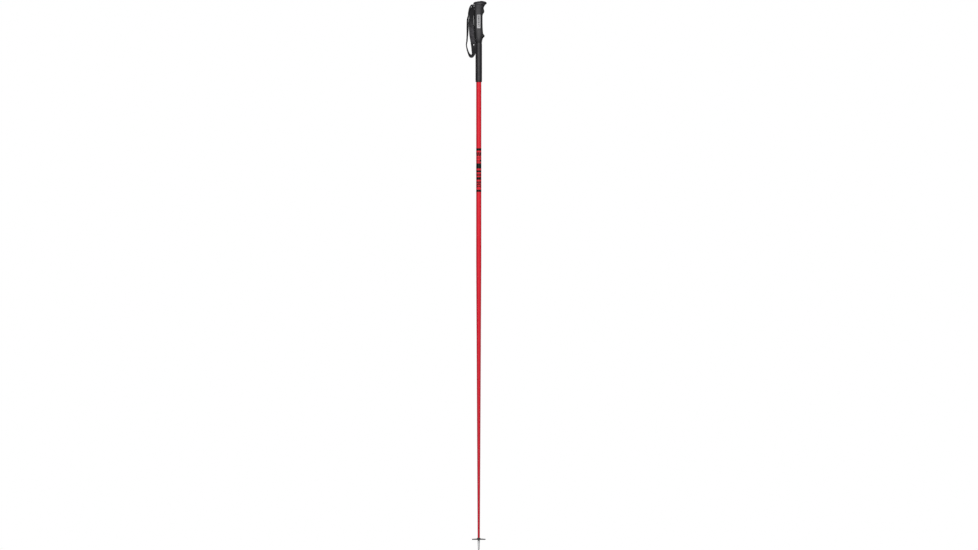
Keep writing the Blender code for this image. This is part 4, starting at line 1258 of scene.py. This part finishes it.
def sewn_cloth(places, shares):
    """Grids of (along, across, height) for the pad's top cloth, sewn down along its
    edges, its two seams and its cross rows, and pushed up by the foam below it."""
    along = np.repeat(places[:, None], len(shares), 1)
    across = pad_half(along) * shares[None]
    off = np.abs(shares)[None]
    near = np.abs((along + QUILT / 2) % QUILT - QUILT / 2)
    row = (near < 0.26) & (off < SEAM) & (along > 3) & (along < PAD_LENGTH - 3)
    flat = (off > SEAM + 0.02) | (along < 1.2) | (along > PAD_LENGTH - 1.2)
    flat = flat | (np.abs(off - SEAM) < 0.02)
    crown = np.maximum(0.0, 1 - (off / SEAM) ** 3) ** 0.6
    crown = crown * (1 - 0.5 * np.exp(-(near / 1.3) ** 2))
    crown = crown * np.minimum(1.0, np.minimum(along, PAD_LENGTH - along) / 3.0)
    plain = along, across, np.where(flat, SEWN, SEWN + FULL * crown)
    height = np.where(flat, SEWN, np.where(row, ROW, 0.4))
    out = simulated(along, across, height, flat | row)
    # guards against a simulation that blew up
    if not np.isfinite(out).all():
        return plain
    # the foam under the cloth rounds off its sharpest creases
    fixed = (flat | row)[1:-1, 1:-1, None]
    for _ in range(5):
        around = (out[:-2, 1:-1] + out[2:, 1:-1] + out[1:-1, :-2] + out[1:-1, 2:]) / 4
        out[1:-1, 1:-1] = np.where(fixed, out[1:-1, 1:-1], 0.4 * out[1:-1, 1:-1] + 0.6 * around)
    height = out[:, :, 2]
    # guards against a cloth pushed down instead of up
    if abs(height.min()) > abs(height.max()):
        height = 2 * SEWN - height
    rise = np.maximum(height - SEWN, -0.1)
    rise *= 1.55 / max(np.percentile(rise, 99.5), 0.2)
    return out[:, :, 0], out[:, :, 1], SEWN + np.minimum(rise, 1.75)


def pad_cushion():
    places = np.linspace(0, PAD_LENGTH, 156)
    shares = np.concatenate([[-1.0, -0.93, -0.87], np.linspace(-SEAM, SEAM, 25),
                             [0.87, 0.93, 1.0]])
    along, across, height = sewn_cloth(places, shares)
    top, _ = on_strap(along.ravel(), across.ravel(), PAD_LIFT + height.ravel())
    flat = np.repeat(places[:, None], len(shares), 1)
    flat_across = pad_half(flat) * shares[None]
    under, _ = on_strap(flat.ravel(), flat_across.ravel(), np.full(flat.size, PAD_LIFT))
    pad = solid("wrist_pad_cushion", np.vstack([top, under]),
                shell_faces(*along.shape, turn_over=False))
    dress(pad, PAD, 60, "strap", ["wrist_pad"])


def pad_binding():
    """A sewn band of oval section round the pad's edge."""
    side, end = 170, 12            # samples along each side and each end
    margin, half_wide, half_high, ridge = 0.5, 0.62, 0.42, 0.03
    there = np.linspace(margin, PAD_LENGTH - margin, side)
    back = np.linspace(PAD_LENGTH - margin, margin, side)
    along = np.concatenate([there, np.full(end, PAD_LENGTH - margin), back,
                            np.full(end, margin)])
    end_share = np.linspace(1, -1, end + 2)[1:-1]
    share = np.concatenate([np.ones(side), end_share, -np.ones(side), -end_share])
    across = share * (pad_half(along) - 0.25)
    points, lifts = on_strap(along, across, PAD_LIFT + np.full(len(along), 0.20))
    beside = unit(np.cross(unit(central(points)), lifts))
    around = 10
    verts = []
    for i, (point, out, lift) in enumerate(zip(points, beside, lifts)):
        swell = 1 + ridge * math.cos(i * math.pi)
        for k in range(around):
            angle = 2 * math.pi * k / around
            verts.append(point + out * (half_wide * math.cos(angle))
                         + lift * (half_high * swell * math.sin(angle)))
    band = solid("pad_binding", verts, ring_faces(len(points), around, closed=True))
    dress(band, BINDING, 60, "strap")


pad_cushion()
pad_binding()

# ---- stitches
THREAD_R = 0.16


def stitch_row(points, normals, out, length=1.7, gap=0.8):
    """Sewn stitches along a line of points: small threads that dive at both ends."""
    rings, around = 7, 8
    faces = ring_faces(rings, around)
    faces += [tuple(range(around)), tuple(range((rings - 1) * around, rings * around))[::-1]]
    gone = lengths(points)
    stitches = []
    start = gap / 2
    while start + length < gone[-1]:
        at = np.linspace(start, start + length, rings)
        line = columns_at(at, gone, points)
        up = unit(columns_at(at, gone, normals))
        side = np.cross(unit(np.gradient(line, axis=0)), up)
        verts = []
        for j in range(rings):
            arch = math.sin(math.pi * j / (rings - 1))
            radius = THREAD_R * (0.45 + 0.55 * math.sqrt(max(arch, 0.0)))
            middle = line[j] + up[j] * (out + 0.16 * arch - 0.10)
            for k in range(around):
                angle = 2 * math.pi * k / around
                verts.append(middle + side[j] * (radius * math.cos(angle))
                             + up[j] * (radius * math.sin(angle)))
        stitches.append((verts, faces))
        start += length + gap
    return joined(stitches)


def pad_stitching():
    """Two rows along the pad's seams and four across it."""
    rows = []
    for side in (-1, 1):
        along = np.linspace(1.6, PAD_LENGTH - 1.6, 200)
        line = on_strap(along, side * SEAM * pad_half(along), np.full(200, PAD_LIFT + SEWN))
        rows.append(stitch_row(*line, out=0.08))
    for k in range(1, 5):
        across = np.linspace(-SEAM, SEAM, 30) * PAD_HALF
        line = on_strap(np.full(30, k * QUILT), across, np.full(30, PAD_LIFT + ROW))
        rows.append(stitch_row(*line, out=0.06, length=1.3, gap=0.7))
    dress(solid("pad_stitching", *joined(rows)), THREAD, 60, "strap")


def on_webbing(index, offset, share, face):
    """Points and normals on a face of the webbing, offset mm past a station."""
    at = station(index) + offset
    centre, wide, normal = strap_frames(at, np.linspace(at.min() - 2, at.max() + 2, 60))
    share = np.broadcast_to(share, at.shape)
    points = (centre + wide * (WEB_HALF * share)[:, None]
              + normal * bow(share, WEB_HALF)[:, None])
    return points, normal * face


def strap_stitching():
    """A box tack on each leg below the lock, and bar tacks below the pad."""
    half_box, half_share = 5.2, 0.7
    rows = []
    for index, face, out in ((5, -1, 1.24), (42, 1, 0.82)):
        box = [(np.linspace(-half_box, half_box, 40), share)
               for share in (-half_share, half_share)]
        box += [(np.full(24, end), np.linspace(-half_share, half_share, 24))
                for end in (-half_box, 0.0, half_box)]
        rows += [stitch_row(*on_webbing(index, offset, share, face), out, length=1.4, gap=0.6)
                 for offset, share in box]
    for offset in (-0.4, 0.5):
        line = on_webbing(31, np.full(24, offset), np.linspace(-0.8, 0.8, 24), 1)
        rows.append(stitch_row(*line, out=0.80, length=1.1, gap=0.35))
    dress(solid("strap_stitching", *joined(rows)), THREAD, 60, "strap")


pad_stitching()
strap_stitching()


# ---- studio, in metres
def studio_floor():
    size, z = 60.0, -0.0003
    verts = [(-size, -size, z), (size, -size, z), (size, size, z), (-size, size, z)]
    floor = mesh_object("studio_floor", verts, [(0, 1, 2, 3)], 1.0)
    mat = bpy.data.materials.new("studio_floor")
    mat.use_nodes = True
    nodes, link = mat.node_tree.nodes, mat.node_tree.links.new
    shader = nodes["Principled BSDF"]
    shader.inputs["Base Color"].default_value = (0.86, 0.86, 0.86, 1)
    shader.inputs["Roughness"].default_value = 0.9
    shader.inputs["Specular IOR Level"].default_value = 0.1
    glow = nodes.new("ShaderNodeEmission")
    path = nodes.new("ShaderNodeLightPath")
    both = nodes.new("ShaderNodeAddShader")
    glow.inputs["Color"].default_value = (0.34, 0.34, 0.34, 1)
    link(shader.outputs[0], both.inputs[0])
    link(glow.outputs[0], both.inputs[1])
    # what the object itself sees of the floor is dim, which keeps its rims dark
    dim = nodes.new("ShaderNodeBsdfDiffuse")
    dim.inputs["Color"].default_value = (0.12, 0.12, 0.12, 1)
    pick = nodes.new("ShaderNodeMixShader")
    link(path.outputs["Is Camera Ray"], pick.inputs[0])
    link(dim.outputs[0], pick.inputs[1])
    link(both.outputs[0], pick.inputs[2])
    link(pick.outputs[0], nodes["Material Output"].inputs["Surface"])
    floor.data.materials.append(mat)


def studio_world():
    """White to the camera and dim to everything else."""
    world = bpy.data.worlds.new("studio")
    bpy.context.scene.world = world
    world.use_nodes = True
    nodes, link = world.node_tree.nodes, world.node_tree.links.new
    back = nodes["Background"]
    back.inputs["Color"].default_value = (1, 1, 1, 1)
    path = nodes.new("ShaderNodeLightPath")
    scale = nodes.new("ShaderNodeMapRange")
    scale.inputs["To Min"].default_value = 0.05
    scale.inputs["To Max"].default_value = 1.0
    link(path.outputs["Is Camera Ray"], scale.inputs["Value"])
    link(scale.outputs["Result"], back.inputs["Strength"])


def level_camera():
    """Looks along +Y, straight on and level."""
    camera = bpy.data.objects.new("camera", bpy.data.cameras.new("camera"))
    bpy.context.scene.collection.objects.link(camera)
    camera.data.type = "ORTHO"
    camera.data.ortho_scale = 2.492922
    camera.location = (0.02612725, -3.1, 0.7012)
    camera.rotation_euler = (math.pi / 2, 0, 0)
    camera.data.clip_start, camera.data.clip_end = 0.01, 200.0
    bpy.context.scene.camera = camera
    bpy.context.view_layer.update()
    return camera


def lamp(name, camera, strength, spread, turn, lift):
    """A wide soft lamp at a fixed angle to the camera; angles are in degrees."""
    data = bpy.data.lights.new(name, "SUN")
    data.energy, data.angle, data.color = strength, math.radians(spread), (1, 1, 1)
    obj = bpy.data.objects.new(name, data)
    bpy.context.scene.collection.objects.link(obj)
    obj.parent = camera
    obj.rotation_euler = (-math.radians(lift), -math.radians(turn), 0)


studio_floor()
studio_world()
camera = level_camera()
lamp("key", camera, strength=2.45, spread=36, turn=-2, lift=22)
lamp("fill", camera, strength=0.60, spread=60, turn=10, lift=8)

view = bpy.context.scene.view_settings
view.view_transform = "Standard"
view.look = "None"
view.exposure, view.gamma = 0.0, 1.0
